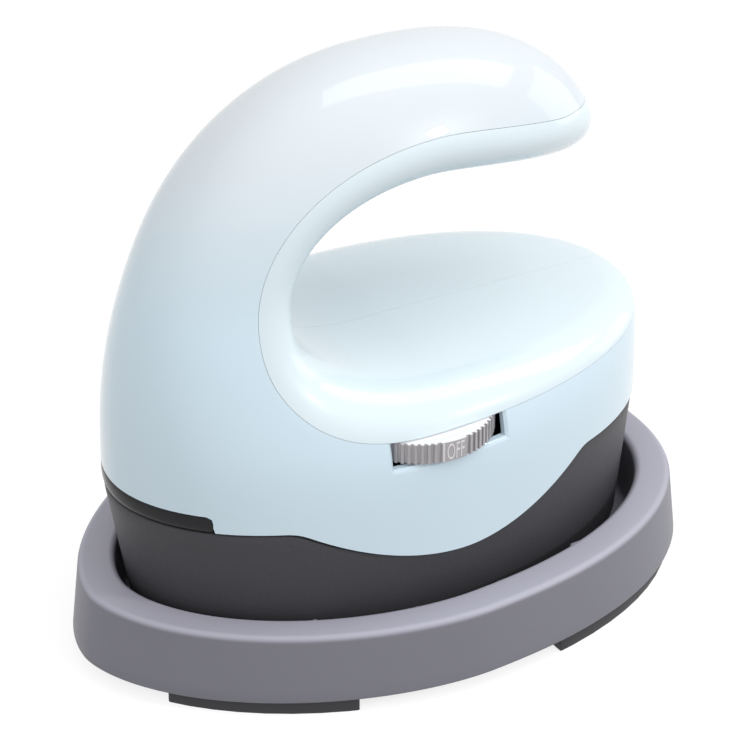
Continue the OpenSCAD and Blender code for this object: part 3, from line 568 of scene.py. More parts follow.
def from_node(node, name, width, degrees, segments=2):
    """A welded copy of a CAD node, its sharp edges rounded"""
    bm = bmesh.new()
    bm.from_mesh(frame["nodes"][node].data)
    bmesh.ops.remove_doubles(bm, verts=bm.verts, dist=0.002 * MM)
    bmesh.ops.dissolve_limit(bm, angle_limit=math.radians(1.0), verts=bm.verts, edges=bm.edges)
    mesh = bpy.data.meshes.new(name)
    bm.to_mesh(mesh)
    bm.free()
    obj = round_edges(make_object(name, mesh), width, degrees, segments)
    soften(obj.data)
    return obj


def finish_piece(obj, material, body, slot, *nodes):
    """Gives a piece its one material and says what it rides on and replaces; the slot is not used"""
    obj.data.materials.clear()
    obj.data.materials.append(material)
    for polygon in obj.data.polygons:
        polygon.material_index = 0
    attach(obj, body)
    if nodes:
        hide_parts(*nodes)


def join(into, *others):
    """Adds the meshes of other objects to one object and removes them"""
    with Edited(into.data) as bm:
        for other in others:
            bm.from_mesh(other.data)
            bpy.data.objects.remove(other)


# ---- node trees and finishes -------------------------------------------------


def feed(tree, node, inputs):
    """Gives each input a value or another node's output"""
    for key, value in inputs.items():
        if isinstance(value, bpy.types.NodeSocket):
            tree.links.new(value, node.inputs[key])
        else:
            node.inputs[key].default_value = value


def add_node(tree, kind, inputs=None, **settings):
    node = tree.nodes.new(kind)
    for key, value in settings.items():
        setattr(node, key, value)
    feed(tree, node, inputs or {})
    return node


def maths(tree, operation, first, second):
    """Output of a Math node on two values or outputs"""
    return add_node(tree, "ShaderNodeMath", {0: first, 1: second}, operation=operation).outputs[0]


def repeat_tree():
    """Node tree that sets one piece on every point of a mesh, turned by the point's own angle"""
    tree = bpy.data.node_groups.get("Piece on points")
    if tree:
        return tree
    tree = bpy.data.node_groups.new("Piece on points", "GeometryNodeTree")
    socket = tree.interface.new_socket
    for label, kind in (("Geometry", "Geometry"), ("Piece", "Object"), ("Material", "Material")):
        socket(label, in_out="INPUT", socket_type="NodeSocket" + kind)
    socket("Scale", in_out="INPUT", socket_type="NodeSocketFloat").default_value = 1.0
    socket("Geometry", in_out="OUTPUT", socket_type="NodeSocketGeometry")
    given = add_node(tree, "NodeGroupInput").outputs
    points = add_node(tree, "GeometryNodeMeshToPoints", {"Mesh": given["Geometry"]})
    info = add_node(tree, "GeometryNodeObjectInfo", {"Object": given["Piece"]})
    turn = add_node(tree, "GeometryNodeInputNamedAttribute", {"Name": "turn"}, data_type="FLOAT")
    axis = add_node(tree, "ShaderNodeCombineXYZ", {"Z": turn.outputs["Attribute"]})
    euler = add_node(tree, "FunctionNodeEulerToRotation", {"Euler": axis.outputs["Vector"]})
    placing = {
        "Points": points.outputs["Points"],
        "Instance": info.outputs["Geometry"],
        "Rotation": euler.outputs["Rotation"],
        "Scale": given["Scale"],
    }
    place = add_node(tree, "GeometryNodeInstanceOnPoints", placing)
    real = add_node(tree, "GeometryNodeRealizeInstances", {"Geometry": place.outputs["Instances"]})
    painting = {"Geometry": real.outputs["Geometry"], "Material": given["Material"]}
    paint = add_node(tree, "GeometryNodeSetMaterial", painting)
    add_node(tree, "NodeGroupOutput", {"Geometry": paint.outputs["Geometry"]})
    return tree


def set_on_points(name, points, turns, piece_mesh, material):
    """A plain mesh of one piece repeated on the points"""
    seed = mesh_of(name + "_points", points, [])
    turn = seed.attributes.new("turn", "FLOAT", "POINT")
    turn.data.foreach_set("value", np.asarray(turns, np.float32))
    obj, piece = make_object(name, seed), make_object(name + "_piece", piece_mesh)
    tree = repeat_tree()
    mod = obj.modifiers.new("repeat", "NODES")
    mod.node_group = tree
    values = {"Piece": piece, "Scale": 1.0, "Material": material}
    for item in tree.interface.items_tree:
        if item.in_out == "INPUT" and item.name in values:
            mod[item.identifier] = values[item.name]
    settle(obj)
    bpy.data.objects.remove(piece)
    return obj


def tone(colour, ratio):
    return tuple(c * ratio for c in colour)


def grain_group():
    """Moulded or cast surface: a broad drift of tone and a fine grain, as colour, roughness and height"""
    tree = bpy.data.node_groups.get("Surface grain")
    if tree:
        return tree
    tree = bpy.data.node_groups.new("Surface grain", "ShaderNodeTree")
    socket = tree.interface.new_socket
    for label, kind, value in (
        ("Colour", "Color", (0.5, 0.5, 0.5, 1)),
        ("Drift Colour", "Color", (0.5, 0.5, 0.5, 1)),
        ("Drift Scale", "Float", 20.0),
        ("Grain Scale", "Float", 900.0),
        ("Speckle", "Float", 0.1),
        ("Roughness", "Float", 0.4),
        ("Roughness Spread", "Float", 0.05),
    ):
        socket(label, in_out="INPUT", socket_type="NodeSocket" + kind).default_value = value
    for label, kind in (("Colour", "Color"), ("Roughness", "Float"), ("Height", "Float")):
        socket(label, in_out="OUTPUT", socket_type="NodeSocket" + kind)
    given = add_node(tree, "NodeGroupInput").outputs
    where = add_node(tree, "ShaderNodeTexCoord").outputs["Object"]
    noises = []
    for key, detail in (("Drift Scale", 2.0), ("Grain Scale", 3.0)):
        noise = {"Vector": where, "Scale": given[key], "Detail": detail}
        noises.append(add_node(tree, "ShaderNodeTexNoise", noise).outputs["Fac"])
    drift, grain = noises
    tones = {0: drift, 6: given["Colour"], 7: given["Drift Colour"]}
    drifted = add_node(tree, "ShaderNodeMix", tones, data_type="RGBA").outputs[2]
    share = maths(tree, "MULTIPLY", grain, given["Speckle"])
    specks = {0: share, 6: drifted, 7: (0.35, 0.35, 0.36, 1)}
    speckled = add_node(tree, "ShaderNodeMix", specks, data_type="RGBA", blend_type="MULTIPLY").outputs[2]
    centred = maths(tree, "SUBTRACT", grain, 0.5)
    spread = maths(tree, "MULTIPLY", centred, given["Roughness Spread"])
    rough = maths(tree, "ADD", spread, given["Roughness"])
    add_node(tree, "NodeGroupOutput", {"Colour": speckled, "Roughness": rough, "Height": grain})
    return tree


def finish(
    name, base, drift=0.94, rough=0.4, spread=0.06, metal=0.0, coat=0.0, grain=900.0, speckle=0.06,
    bump=0.02, broad=20.0, specular=0.5, coat_rough=0.08, turns=None,
):
    """A moulded, cast or drawn finish

    drift is the colour that the base drifts to, or its ratio to the base. turns holds a coordinate,
    the two values of its Z between which the colour changes, and the colour above them; the pieces
    here use it to paint light on their upper parts and upward faces.
    """
    material = bpy.data.materials.get(name)
    if material:
        return material
    material = bpy.data.materials.new(name)
    material.use_nodes = True
    tree = material.node_tree
    if isinstance(drift, float):
        drift = tone(base, drift)
    surface = add_node(tree, "ShaderNodeGroup", node_tree=grain_group())
    values = {
        "Colour": (*base, 1),
        "Drift Colour": (*drift, 1),
        "Drift Scale": broad,
        "Grain Scale": grain,
        "Speckle": speckle,
        "Roughness": rough,
        "Roughness Spread": spread,
    }
    feed(tree, surface, values)
    paint = surface.outputs["Colour"]
    if turns:
        coordinate, low, high, upper = turns
        where = add_node(tree, "ShaderNodeTexCoord").outputs[coordinate]
        along = add_node(tree, "ShaderNodeSeparateXYZ", {0: where}).outputs["Z"]
        span = {"Value": along, "From Min": low, "From Max": high}
        share = add_node(tree, "ShaderNodeMapRange", span, interpolation_type="SMOOTHSTEP")
        mix = {0: share.outputs["Result"], 6: paint, 7: (*upper, 1)}
        paint = add_node(tree, "ShaderNodeMix", mix, data_type="RGBA").outputs[2]
    shader = tree.nodes["Principled BSDF"]
    look = {"Base Color": paint, "Roughness": surface.outputs["Roughness"], "Metallic": metal}
    feed(tree, shader, {**look, "Specular IOR Level": specular})
    if bump:
        relief = {"Strength": bump, "Distance": 0.0002, "Height": surface.outputs["Height"]}
        height = add_node(tree, "ShaderNodeBump", relief)
        feed(tree, shader, {"Normal": height.outputs["Normal"]})
    if coat:
        feed(tree, shader, {"Coat Weight": coat, "Coat Roughness": coat_rough})
    return material


# ---- the pieces --------------------------------------------------------------

RIB_PLACES = (-38, -16, 8, 31)  # where the tray's ribs stand along the press
FOOT_SPREAD = (1.008, 1.012)  # how much further out the feet stand, along and across
DRAW_Z = 35.6  # the skirt draws in below this height
SKIRT_INSET = 0.4  # and stands this far inside the housing's outline above it
EDGE_GAP = 0.62  # from the shell's lower edge down to the skirt
SLOT_NOSE, SLOT_HEEL = 14.5, 14.0  # the slot's ends from the dial's axis
SLOT_BORDER = 0.7  # width of the slot's sloping border
PANEL_A = -104.5  # where the dial's lettering starts round its axis, in degrees
LETTERS = (4.3, 4.1)  # width and height of the lettering
FAR = 1e3  # stands for a line that a ray never meets
LONG_STEP = 1.3  # longest step along the shell's lower edge
TURN_STEP = 0.1  # and where that edge turns onto the body's outline
# Nodes that get a piece of their own; the rest keep their shapes and get a finish
DRESSED = (
    "outer_shell", "cover_near", "cover_far", "nose_strip", "skirt", "stand_tray", "foot_nose_near",
    "foot_nose_far", "foot_heel", "rest_pads", "dial_wheel", "cord_gland", "hot_plate",
)


def build_tray(s, b, colours):
    top, low = s.foot_h + s.tray_h, s.foot_h
    floor = low + s.floor_t
    # The rim is wider at the nose than at the sides, and slimmer at the heel
    in_nose, in_heel = s.tray_nose - s.rim_w - 0.6, s.tray_heel - s.rim_w + 0.9
    in_half, in_n = s.tray_half - s.rim_w, s.tray_n1 + 0.05

    def outer(d):
        side = np.where(np.asarray(d) < 0, 0.3 * d, d)
        reach = (s.tray_nose - d, s.tray_heel - d, s.tray_half - side)
        return egg(b.tray_cx, *reach, s.tray_n1, s.tray_n2)

    def inner(d):
        return egg(b.tray_cx, in_nose - d, in_heel - d, in_half - d, in_n, s.tray_n2)

    r, w, k = s.rim_r, s.tray_wall, s.tray_draft
    quarter = np.radians(np.arange(0, 91, 9))
    # The cored inside, the wall's foot and outside, the rim, the inner wall and the floor
    rings = [ring(inner(-w), low), ring(inner(-w), top - w), ring(outer(w), top - w)]
    rings += [ring(outer(w - k), low), ring(outer(-k + 0.5), low)]
    rings += [ring(outer(-k + 0.15), low + 0.15), ring(outer(-k), low + 0.5)]
    for u in (0.2, 0.4, 0.6, 0.8):
        rings.append(ring(outer(-k * (1 - u)), low + 0.5 + (top - r - low - 0.5) * u))
    for a in quarter:
        rings.append(ring(outer(r * (1 - math.cos(a))), top - r * (1 - math.sin(a))))
    for a in quarter[::-1]:
        rings.append(ring(inner(-r * (1 - math.cos(a))), top - r * (1 - math.sin(a))))
    for u in (0.25, 0.5, 0.75, 1.0):
        rings.append(ring(inner(0.6 * u), top - r + (floor + 1.5 - top + r) * u))
    rings += [ring(inner(0.95), floor + 0.7), ring(inner(1.5), floor + 0.15), ring(inner(2.1), floor)]
    tray = make_object("tray_body", loft("tray_body", rings))
    soften(tray.data, 40)

    def side_in(x):
        u = abs(x - b.tray_cx) / (in_nose if x < b.tray_cx else in_heel)
        n = in_n if x < b.tray_cx else s.tray_n2
        return in_half * (1 - u**n) ** (1 / n)

    # One rib: a block with a rounded nose, standing on the floor against the wall
    half, out, height = 2.4, s.rib_out, top - floor - 1.3
    plan = [(half, out + 1.0)]
    for a in np.radians(np.arange(0, 181, 15)):
        plan.append((half * math.cos(a), out - 1.2 * out * math.sin(a) ** 0.7))
    plan.append((-half, out + 1.0))
    layers = ((-0.1, 0.0), (height - 2.4, 0.0), (height - 0.9, 0.25), (height - 0.2, 0.75), (height, 1.4))
    rib_rings = []
    for z, cut in layers:
        nose = cut - 0.2 * out
        corners = [[x * (1 - 0.2 * cut), max(y, nose) if y < out else y, z] for x, y in plan]
        rib_rings.append(np.array(corners))
    rib = loft("rib", rib_rings)
    soften(rib, 50)
    points, turns = [], []
    for x in RIB_PLACES:
        for side in (1, -1):
            points.append((x, side * (side_in(x) - out), floor))
            turns.append(0.0 if side > 0 else math.pi)
    # Painted light: faces that look upwards, the rim's upper face among them, are painted paler than the
    # wall, as if lit from above
    turned = ("Normal", 0.15, 0.85, tone(colours.tray, 2.05))
    grey = finish(
        "Tray plastic", colours.tray, 1.08, rough=0.47, spread=0.10, grain=1500, speckle=0.10, bump=0.05,
        broad=14, turns=turned,
    )
    join(tray, set_on_points("tray_ribs", points, turns, rib, grey))
    finish_piece(tray, grey, "stand", "tray_grey", "stand_tray")


def build_feet(s, b, colours):
    rubber = finish(
        "Foot rubber", colours.feet, 1.3, rough=0.55, spread=0.12, grain=1800, speckle=0.15, bump=0.06
    )
    for node in ("foot_nose_near", "foot_nose_far", "foot_heel"):
        foot = from_node(node, node + "_pad", 0.35, 50)
        for v in foot.data.vertices:
            v.co.x *= FOOT_SPREAD[0]
            v.co.y *= FOOT_SPREAD[1]
        finish_piece(foot, rubber, "stand", "foot_rubber", node)
    silicone = finish(
        "Pad silicone", (0.16, 0.16, 0.17), (0.2, 0.2, 0.21), rough=0.62, spread=0.1, grain=1500,
        speckle=0.12, bump=0.05,
    )
    pads = from_node("rest_pads", "silicone_pads", 0.2, 50)
    finish_piece(pads, silicone, "stand", "pad_rubber", "rest_pads")


def build_skirt(s, b, colours):
    def body(d1, d2, d3):
        reach = (s.nose_len - d1, s.heel_len - d2, s.half_w - d3)
        return egg(b.body_cx, *reach, s.nose_n, s.heel_n)

    def side(z, d):
        """Outline of the skirt at a height, d further in than its outside"""
        q = np.maximum((np.asarray(z) - DRAW_Z) / (s.skirt_z - DRAW_Z), 0)
        draws = (s.skirt_nose, s.skirt_heel, s.skirt_side)
        return body(*(SKIRT_INSET + (v - SKIRT_INSET) * q + d for v in draws))

    def edge(drop, d):
        """Height of the skirt's upper edge along that outline, less a drop"""
        z = np.full(OUTLINE_SIDES, 30.0)
        for _ in range(6):
            z = b.apron(side(z, d)[0]) - EDGE_GAP - drop
        return z

    def lift(outline, z):
        return ring(outline, np.asarray(z) + FACE_Z)

    low, deck, lap, wall = s.skirt_z, 20.0, b.strip_z + 1, s.skirt_wall
    # The inside, the rounded lower edge, the outside, the eased upper edge and the lap
    rings = [lift(side(deck, wall), deck), lift(side(low + 0.4, wall), low + 0.4)]
    rings += [lift(side(low, wall - 0.4), low), lift(side(low, 0.55), low)]
    rings += [lift(side(low, 0.16), low + 0.16), lift(side(low + 0.55, 0), low + 0.55)]
    top = edge(0.45, 0)
    for u in np.linspace(0.07, 1, 14):
        z = low + 0.55 + (top - low - 0.55) * u
        rings.append(lift(side(z, 0), z))
    for drop, d in ((0.24, 0.07), (0.06, 0.3), (0.0, 0.55)):
        z = edge(drop, d)
        rings.append(lift(side(z, d), z))
    inset = s.wall + 0.5
    for d, z in ((inset, edge(0, 0.55) - 0.2), (inset, lap), (inset + wall, lap), (inset + wall, deck + 2.0)):
        rings.append(lift(body(d, d, d), z))
    skirt = make_object("skirt_wall", loft("skirt_wall", rings))
    soften(skirt.data, 35)
    charcoal = finish(
        "Skirt plastic", colours.skirt, 1.25, rough=0.50, spread=0.16, grain=1700, speckle=0.35,
        bump=0.10, broad=18, specular=0.28,
    )
    finish_piece(skirt, charcoal, "press", "charcoal_plastic", "skirt")


def edge_steps(s, b):
    """Steps of the sweep round the side view, closer where the shell's lower edge turns"""
    counts = (34, 44, 130, 56, 40)
    t = np.concatenate([np.linspace(i, i + 1, n, endpoint=i == 4) for i, n in enumerate(counts)])
    fine = np.linspace(2.3, 3.0, 1500)
    place, _, ray = b.rays(fine)
    land = place[:, 0] + ray[:, 0] * b.reach(place, ray)
    notch = fine[(land > s.strip_x - 1.6) & (land < s.strip_x + 3.2)]
    if len(notch):
        t = np.unique(np.concatenate([t, np.linspace(notch.min(), notch.max(), 46)]))
    return t


def body_grid(s, b):
    """Rays over one side of the body: places, rays, their ends, which end sharp, and the seam"""
    t = edge_steps(s, b)
    # Steps along the lower edge are halved until none is long
    for _ in range(14):
        place, normal, ray = b.rays(t)
        end = b.reach(place, ray)
        tip = place + ray * (end + PROBE)[:, None]
        sharp = (tip[:, 1] > b.shell_edge(tip[:, 0]) + 0.03) & (b.half_at(*tip.T) < 0.6)
        land = place + ray * end[:, None]
        y = np.where(sharp, 0, b.half_at(*land.T))
        step = np.sqrt((np.diff(land, axis=0) ** 2).sum(1) + np.diff(y) ** 2)
        longest = np.where(sharp[1:] != sharp[:-1], TURN_STEP, LONG_STEP)
        far = np.where((step > longest) & (t[1:] > 2.5) & (np.diff(t) > 1e-6))[0]
        if not len(far):
            break
        t = np.sort(np.concatenate([t, (t[far] + t[far + 1]) / 2]))
    # The seam runs at the rounding's foot, and straight on at the tip and at the heel
    seam = b.seam_reach(place, normal)
    at = place + normal * seam[:, None]
    xs = b.tip_x + (s.void_x + 3 - b.tip_x) * np.array([1, 2]) / 8
    under = np.stack([xs, b.under(xs)], -1)
    out = heading(90 + np.degrees(np.arctan(b.slope(xs))))
    start = (under + out * b.seam_reach(under, out)[:, None]).mean(0)
    slope = b.slope(b.tip_x) * 0.6
    drop = (start[1] + slope * (place[:, 0] - start[0])) - place[:, 1]
    rise = ray[:, 1] - slope * ray[:, 0]
    line = np.where(rise > 1e-3, drop / np.maximum(rise, 1e-3), FAR)
    seam = np.where((t < 2) & (at[:, 0] > start[0]), line, seam)
    down = -ray[:, 1]
    line = np.where(down > 1e-3, (place[:, 1] - b.seam_z) / np.maximum(down, 1e-3), FAR)
    seam = np.where(t >= 4, line, seam)
    return place, ray, end, sharp, np.clip(seam, 0.5, None)


def sheet(s, b, grid, part):
    """The near half of the covers or of the shell, as points and faces"""
    place, ray, end, sharp, seam = grid
    gap = s.seam_gap / 2
    columns = []

    def arc(count):
        return np.radians(np.linspace(0, 90, count))

    if part == "cover":
        last = np.minimum(seam - gap, end)
        foot = np.minimum(b.round_h(*(place + ray * 6).T), last)
        flat = b.half_at(*place.T)
        for u in np.linspace(0, 1, 7)[:-1]:
            columns.append(np.stack([place[:, 0], -(gap + (flat - gap) * u), place[:, 1]], -1))
        reach = [foot * (1 - math.cos(a)) for a in arc(17)]
        reach += [foot + (last - foot) * math.sin(a) for a in arc(13)[1:]]
        stop = (last >= end - 1e-6) & sharp
    else:
        first = np.minimum(seam + gap, end)
        reach = [first + (end - first) * math.sin(a) for a in arc(47)]
        stop = sharp
    for i, r in enumerate(reach):
        x, z = (place + ray * r[:, None]).T
        y = b.half_at(x, z)
        if i == len(reach) - 1:
            y = np.where(stop, gap if part == "cover" else 0.0, y)
        if part == "cover":
            y = np.maximum(y, gap)
        elif i < len(reach) - 1:
            y = np.where((r >= end - 1e-6) & stop, 0.0, y)
        columns.append(np.stack([x, -y, z], -1))
    points = np.stack(columns, 1)
    rows, cols = points.shape[:2]
    faces = grid_faces(rows, cols)
    points = points.reshape(-1, 3)
    if part == "cover":
        # Close the underside past the tip and the deck past the heel
        for row in (0, rows - 1):
            edge = points[row * cols + 6 : (row + 1) * cols]
            steps = [-(gap + (-edge[:, 1] - gap) * u) for u in np.linspace(0, 1, 7)]
            strip = [np.stack([edge[:, 0], y, edge[:, 2]], -1) for y in steps]
            faces += grid_faces(len(strip), len(edge), len(points))
            points = np.concatenate([points, *strip])
    points[:, 2] += FACE_Z
    return points, faces


def outer_sheet(name, points, faces, side):
    """Welds a sheet of the near side, of the far side or of both, its faces pointing outwards"""
    mesh = mesh_of(name, points, faces)
    with Edited(mesh) as bm:
        clean(bm)
        face_against(bm, 1)
        if side != "near":
            whole = bm.verts[:] + bm.edges[:] + bm.faces[:]
            copy = bmesh.ops.duplicate(bm, geom=whole)["geom"]
            mirrored = {g for g in copy if isinstance(g, bmesh.types.BMFace)}
            for v in (g for g in copy if isinstance(g, bmesh.types.BMVert)):
                v.co.y = -v.co.y
            bmesh.ops.reverse_faces(bm, faces=[f for f in bm.faces if f in mirrored])
            if side == "far":
                near = [f for f in bm.faces if f not in mirrored]
                bmesh.ops.delete(bm, geom=near, context="FACES")
            else:
                clean(bm)
    return mesh


def cut_slot(mesh, s, b):
    """Cuts the dial's slot into the shell's near side, with its sloping border and its walls"""
    x1, x2 = (s.dial_x - SLOT_NOSE) * MM, (s.dial_x + SLOT_HEEL) * MM
    low = (b.dial_z - s.slot_gap + FACE_Z) * MM
    border = SLOT_BORDER * MM

    def round_slot(face, margin):
        c = face.calc_center_median()
        along = x1 - margin < c.x < x2 + margin
        return along and c.y < -30 * MM and low - margin < c.z < low + 30 * MM

    with Edited(mesh) as bm:
        ends = (((x1 - border, 0, 0), (1, 0, 0)), ((x2 + border, 0, 0), (1, 0, 0)))
        for point, direction in (*ends, ((0, 0, low - border), (0, 0, 1))):
            near = [f for f in bm.faces if round_slot(f, 12 * MM)]
            corners = dict.fromkeys(v for f in near for v in f.verts)
            edges = dict.fromkeys(e for f in near for e in f.edges)
            whole = [*corners, *edges, *near]
            bmesh.ops.bisect_plane(bm, geom=whole, plane_co=point, plane_no=direction, dist=1e-7)
        gone = [f for f in bm.faces if round_slot(f, border)]
        edges = dict.fromkeys(e for f in gone for e in f.edges)
        rim = [e for e in edges if not all(g in gone for g in e.link_faces)]
        bmesh.ops.delete(bm, geom=gone, context="FACES")
        edges = [e for e in rim if e.is_valid and len(e.link_faces) == 1]
        # The sloping border, then the walls that run inwards
        for depth in (0.5 * MM, 1.5 * MM):
            made = bmesh.ops.extrude_edge_only(bm, edges=edges)["geom"]
            moved = {g for g in made if isinstance(g, bmesh.types.BMVert)}
            for v in moved:
                v.co.x = min(max(v.co.x, x1), x2)
                v.co.z = max(v.co.z, low)
                v.co.y += depth
            edges = [g for g in made if isinstance(g, bmesh.types.BMEdge) and set(g.verts) <= moved]


def gloss_plastic(name, base, rough, speckle, turns=None):
    """Moulded plastic under a clear gloss, as the shell and the covers have it"""
    return finish(
        name, base, 1.02, rough=rough, spread=0.03, grain=1400, speckle=speckle, bump=0.004, broad=9,
        specular=0.2, coat=0.8, coat_rough=0.02, turns=turns,
    )


def build_shell(s, b, colours):
    mesh = outer_sheet("shell_outer", *sheet(s, b, body_grid(s, b), "shell"), "both")
    cut_slot(mesh, s, b)
    shell = thicken(make_object("shell_outer", mesh), s.wall)
    soften(shell.data, 38)
    # Painted light: the shell turns greyer and less blue towards the handle's top, where the light washes its
    # blue out
    turned = ("Object", 0.085, 0.13, colours.crown)
    blue = gloss_plastic("Pale blue plastic", colours.shell, 0.32, 0.02, turned)
    finish_piece(shell, blue, "press", "shell_blue", "outer_shell")


def build_covers(s, b, colours):
    points, faces = sheet(s, b, body_grid(s, b), "cover")
    pale = gloss_plastic("Cover plastic", colours.cover, 0.28, 0.015)
    for side in ("near", "far"):
        mesh = outer_sheet(f"cover_{side}_skin", points, faces, side)
        cover = thicken(make_object(f"cover_{side}_skin", mesh), s.wall)
        soften(cover.data, 38)
        finish_piece(cover, pale, "press", "cover_white", "cover_" + side)


def build_strip(s, b, colours):
    """The dark strip round the nose, its upper corners rounded like the notch it fills"""
    gap, count = 0.12, 121
    low, high, r = s.apron_nose, b.strip_z - gap, STRIP_CORNER
    profile = [(0.0, 0.5), (0.12, 0.22), (0.4, 0.08), (1.2, 0.0), (2.0, -0.02), (2.8, 0.0), (3.4, 0.08)]
    profile = [(low + z, d) for z, d in profile] + [(high - 0.12, 0.22), (high, 0.5)]
    rows = []
    for z, d in profile:
        c, a, _, half, n, _ = b.level(z)
        a, half = a - d, half - d
        rest = max(z - (high - r), 0)
        limit = s.strip_x - gap - (r - math.sqrt(max(r * r - rest * rest, 0)))
        top = math.acos(min(max(((c - limit) / a), 0) ** (n / 2), 1))
        turn = np.linspace(-top, top, count)
        x = c - a * np.abs(np.cos(turn)) ** (2 / n)
        rows.append(ring((x, half * signed_power(np.sin(turn), 2 / n)), z + FACE_Z))
    mesh = mesh_of("nose_band", np.concatenate(rows), grid_faces(len(rows), count))
    with Edited(mesh) as bm:
        face_against(bm, 0)
    band = thicken(make_object("nose_band", mesh), 1.6)
    soften(band.data, 40)
    black = finish(
        "Strip plastic", colours.strip, 1.3, rough=0.20, grain=1500, speckle=0.1, specular=0.2
    )
    finish_piece(band, black, "press", "charcoal_plastic", "nose_strip")


def build_dial(s, b, colours):
    # Painted light: faces that look upwards turn pale, for the light that falls on the dial's top
    turned = ("Normal", 0.7, 0.95, colours.dial_top)
    grey = finish(
        "Dial plastic", colours.dial, 1.12, rough=0.30, spread=0.08, metal=0.15, grain=1900,
        speckle=0.08, bump=0.03, turns=turned,
    )
    pale = finish(
        "Dial lettering", colours.print_grey, 1.05, rough=0.35, spread=0.04, grain=1500, speckle=0.03,
        bump=0.01,
    )
    x0, y0, z0 = s.dial_x, -s.dial_y, b.dial_z + FACE_Z
    root, r, t = s.dial_r - s.tooth_d, s.dial_r, s.dial_t

    def round_axis(radius, a, z):
        return np.stack([x0 + radius * np.cos(a), y0 + radius * np.sin(a), np.full_like(a, z0 + z)], -1)

    # The wheel: hub, web and rim turned round the axis
    under = [(3.02, -2.0), (5.0, -2.0), (5.2, -1.8), (5.2, 1.4), (5.5, 1.6), (13.0, 1.6), (13.2, 1.4)]
    under += [(13.2, 0.15), (13.35, 0.0), (root - 0.35, 0.0), (root - 0.1, 0.1), (root, 0.35)]
    above = [(root, t - 0.35), (root - 0.1, t - 0.1), (root - 0.35, t), (8.4, t), (8.1, t - 0.1)]
    above += [(8.0, t - 0.4), (8.0, 3.8), (7.8, 3.6), (5.4, 3.6), (5.2, 3.8), (5.2, t - 1.0)]
    above += [(5.0, t - 0.8), (3.02, t - 0.8), under[0]]
    turn = np.linspace(0, 2 * np.pi, 144, endpoint=False)
    rings = [round_axis(radius, turn, z) for radius, z in under + above]
    wheel = make_object("dial_rim", loft("dial_rim", rings, capped=False))
    soften(wheel.data, 35)
    # One tooth, its edges eased, repeated round the rim except at the flat panel
    w, k = math.pi * r / s.teeth * 1.02, 0.1
    tooth_rings = []
    for x, shrink in ((root - 0.4, 0.0), (r - k, 0.0), (r, k)):
        half, lo, hi = w / 2 - shrink, 0.12 + shrink, t - 0.12 - shrink
        tooth_rings.append(np.array([[x, -half, lo], [x, half, lo], [x, half, hi], [x, -half, hi]]))
    tooth = loft("tooth", tooth_rings)
    soften(tooth, 20)
    turns = [i * 360 / s.teeth for i in range(s.teeth)]
    turns = [a for a in turns if not -3.0 < (a - PANEL_A + 180) % 360 - 180 < 21.5]
    teeth = set_on_points("dial_teeth", [(x0, y0, z0)] * len(turns), np.radians(turns), tooth, grey)

    def arc_block(name, a1, a2, r1, r2, z1, z2, count):
        """A block that follows the rim from one angle to another, its outer edges eased"""
        a = np.radians(np.linspace(a1, a2, count))
        corners = ((r1, z1), (r2 - 0.05, z1), (r2, z1 + 0.06), (r2, z2 - 0.06), (r2 - 0.05, z2), (r1, z2))
        rows = np.stack([round_axis(radius, a, z) for radius, z in corners], 1)
        return make_object(name, loft(name, list(rows)))

    # The panel that carries the lettering, and its index line
    ends = (PANEL_A - 1.2, PANEL_A + 19.8)
    plate = arc_block("dial_panel", *ends, root - 0.3, r - 0.12, 0.12, t - 0.12, 24)
    soften(plate.data, 30)
    join(wheel, teeth, plate)
    finish_piece(wheel, grey, "dial", "dial_charcoal", "dial_wheel")
    index = arc_block("index_line", PANEL_A - 0.2, PANEL_A + 1.2, r - 0.3, r, 0.3, t - 0.3, 3)
    text = bpy.data.curves.new("OFF", "FONT")
    text.body = "OFF"
    text.size = 1.0
    text.extrude = 0.03
    text.align_x, text.align_y = "CENTER", "CENTER"
    text.resolution_u = 4
    obj = make_object("dial_text", text)
    bpy.context.view_layer.update()
    flat = bpy.data.meshes.new_from_object(obj.evaluated_get(bpy.context.evaluated_depsgraph_get()))
    bpy.data.objects.remove(obj)
    co = np.array([v.co[:] for v in flat.vertices])
    lo, hi = co.min(0), co.max(0)
    middle = math.radians(PANEL_A + 10.3)
    for v in flat.vertices:
        u, h = ((v.co[i] - (lo[i] + hi[i]) / 2) / (hi[i] - lo[i]) * LETTERS[i] for i in (0, 1))
        radius, a = r - 0.14 + (0.14 if v.co.z > 0 else -0.1), middle + u / r
        v.co = Vector((x0 + radius * math.cos(a), y0 + radius * math.sin(a), z0 + t / 2 + h)) * MM
    closed(flat)
    join(index, make_object("dial_letters", flat))
    soften(index.data, 30)
    finish_piece(index, pale, "dial", "dial_charcoal")


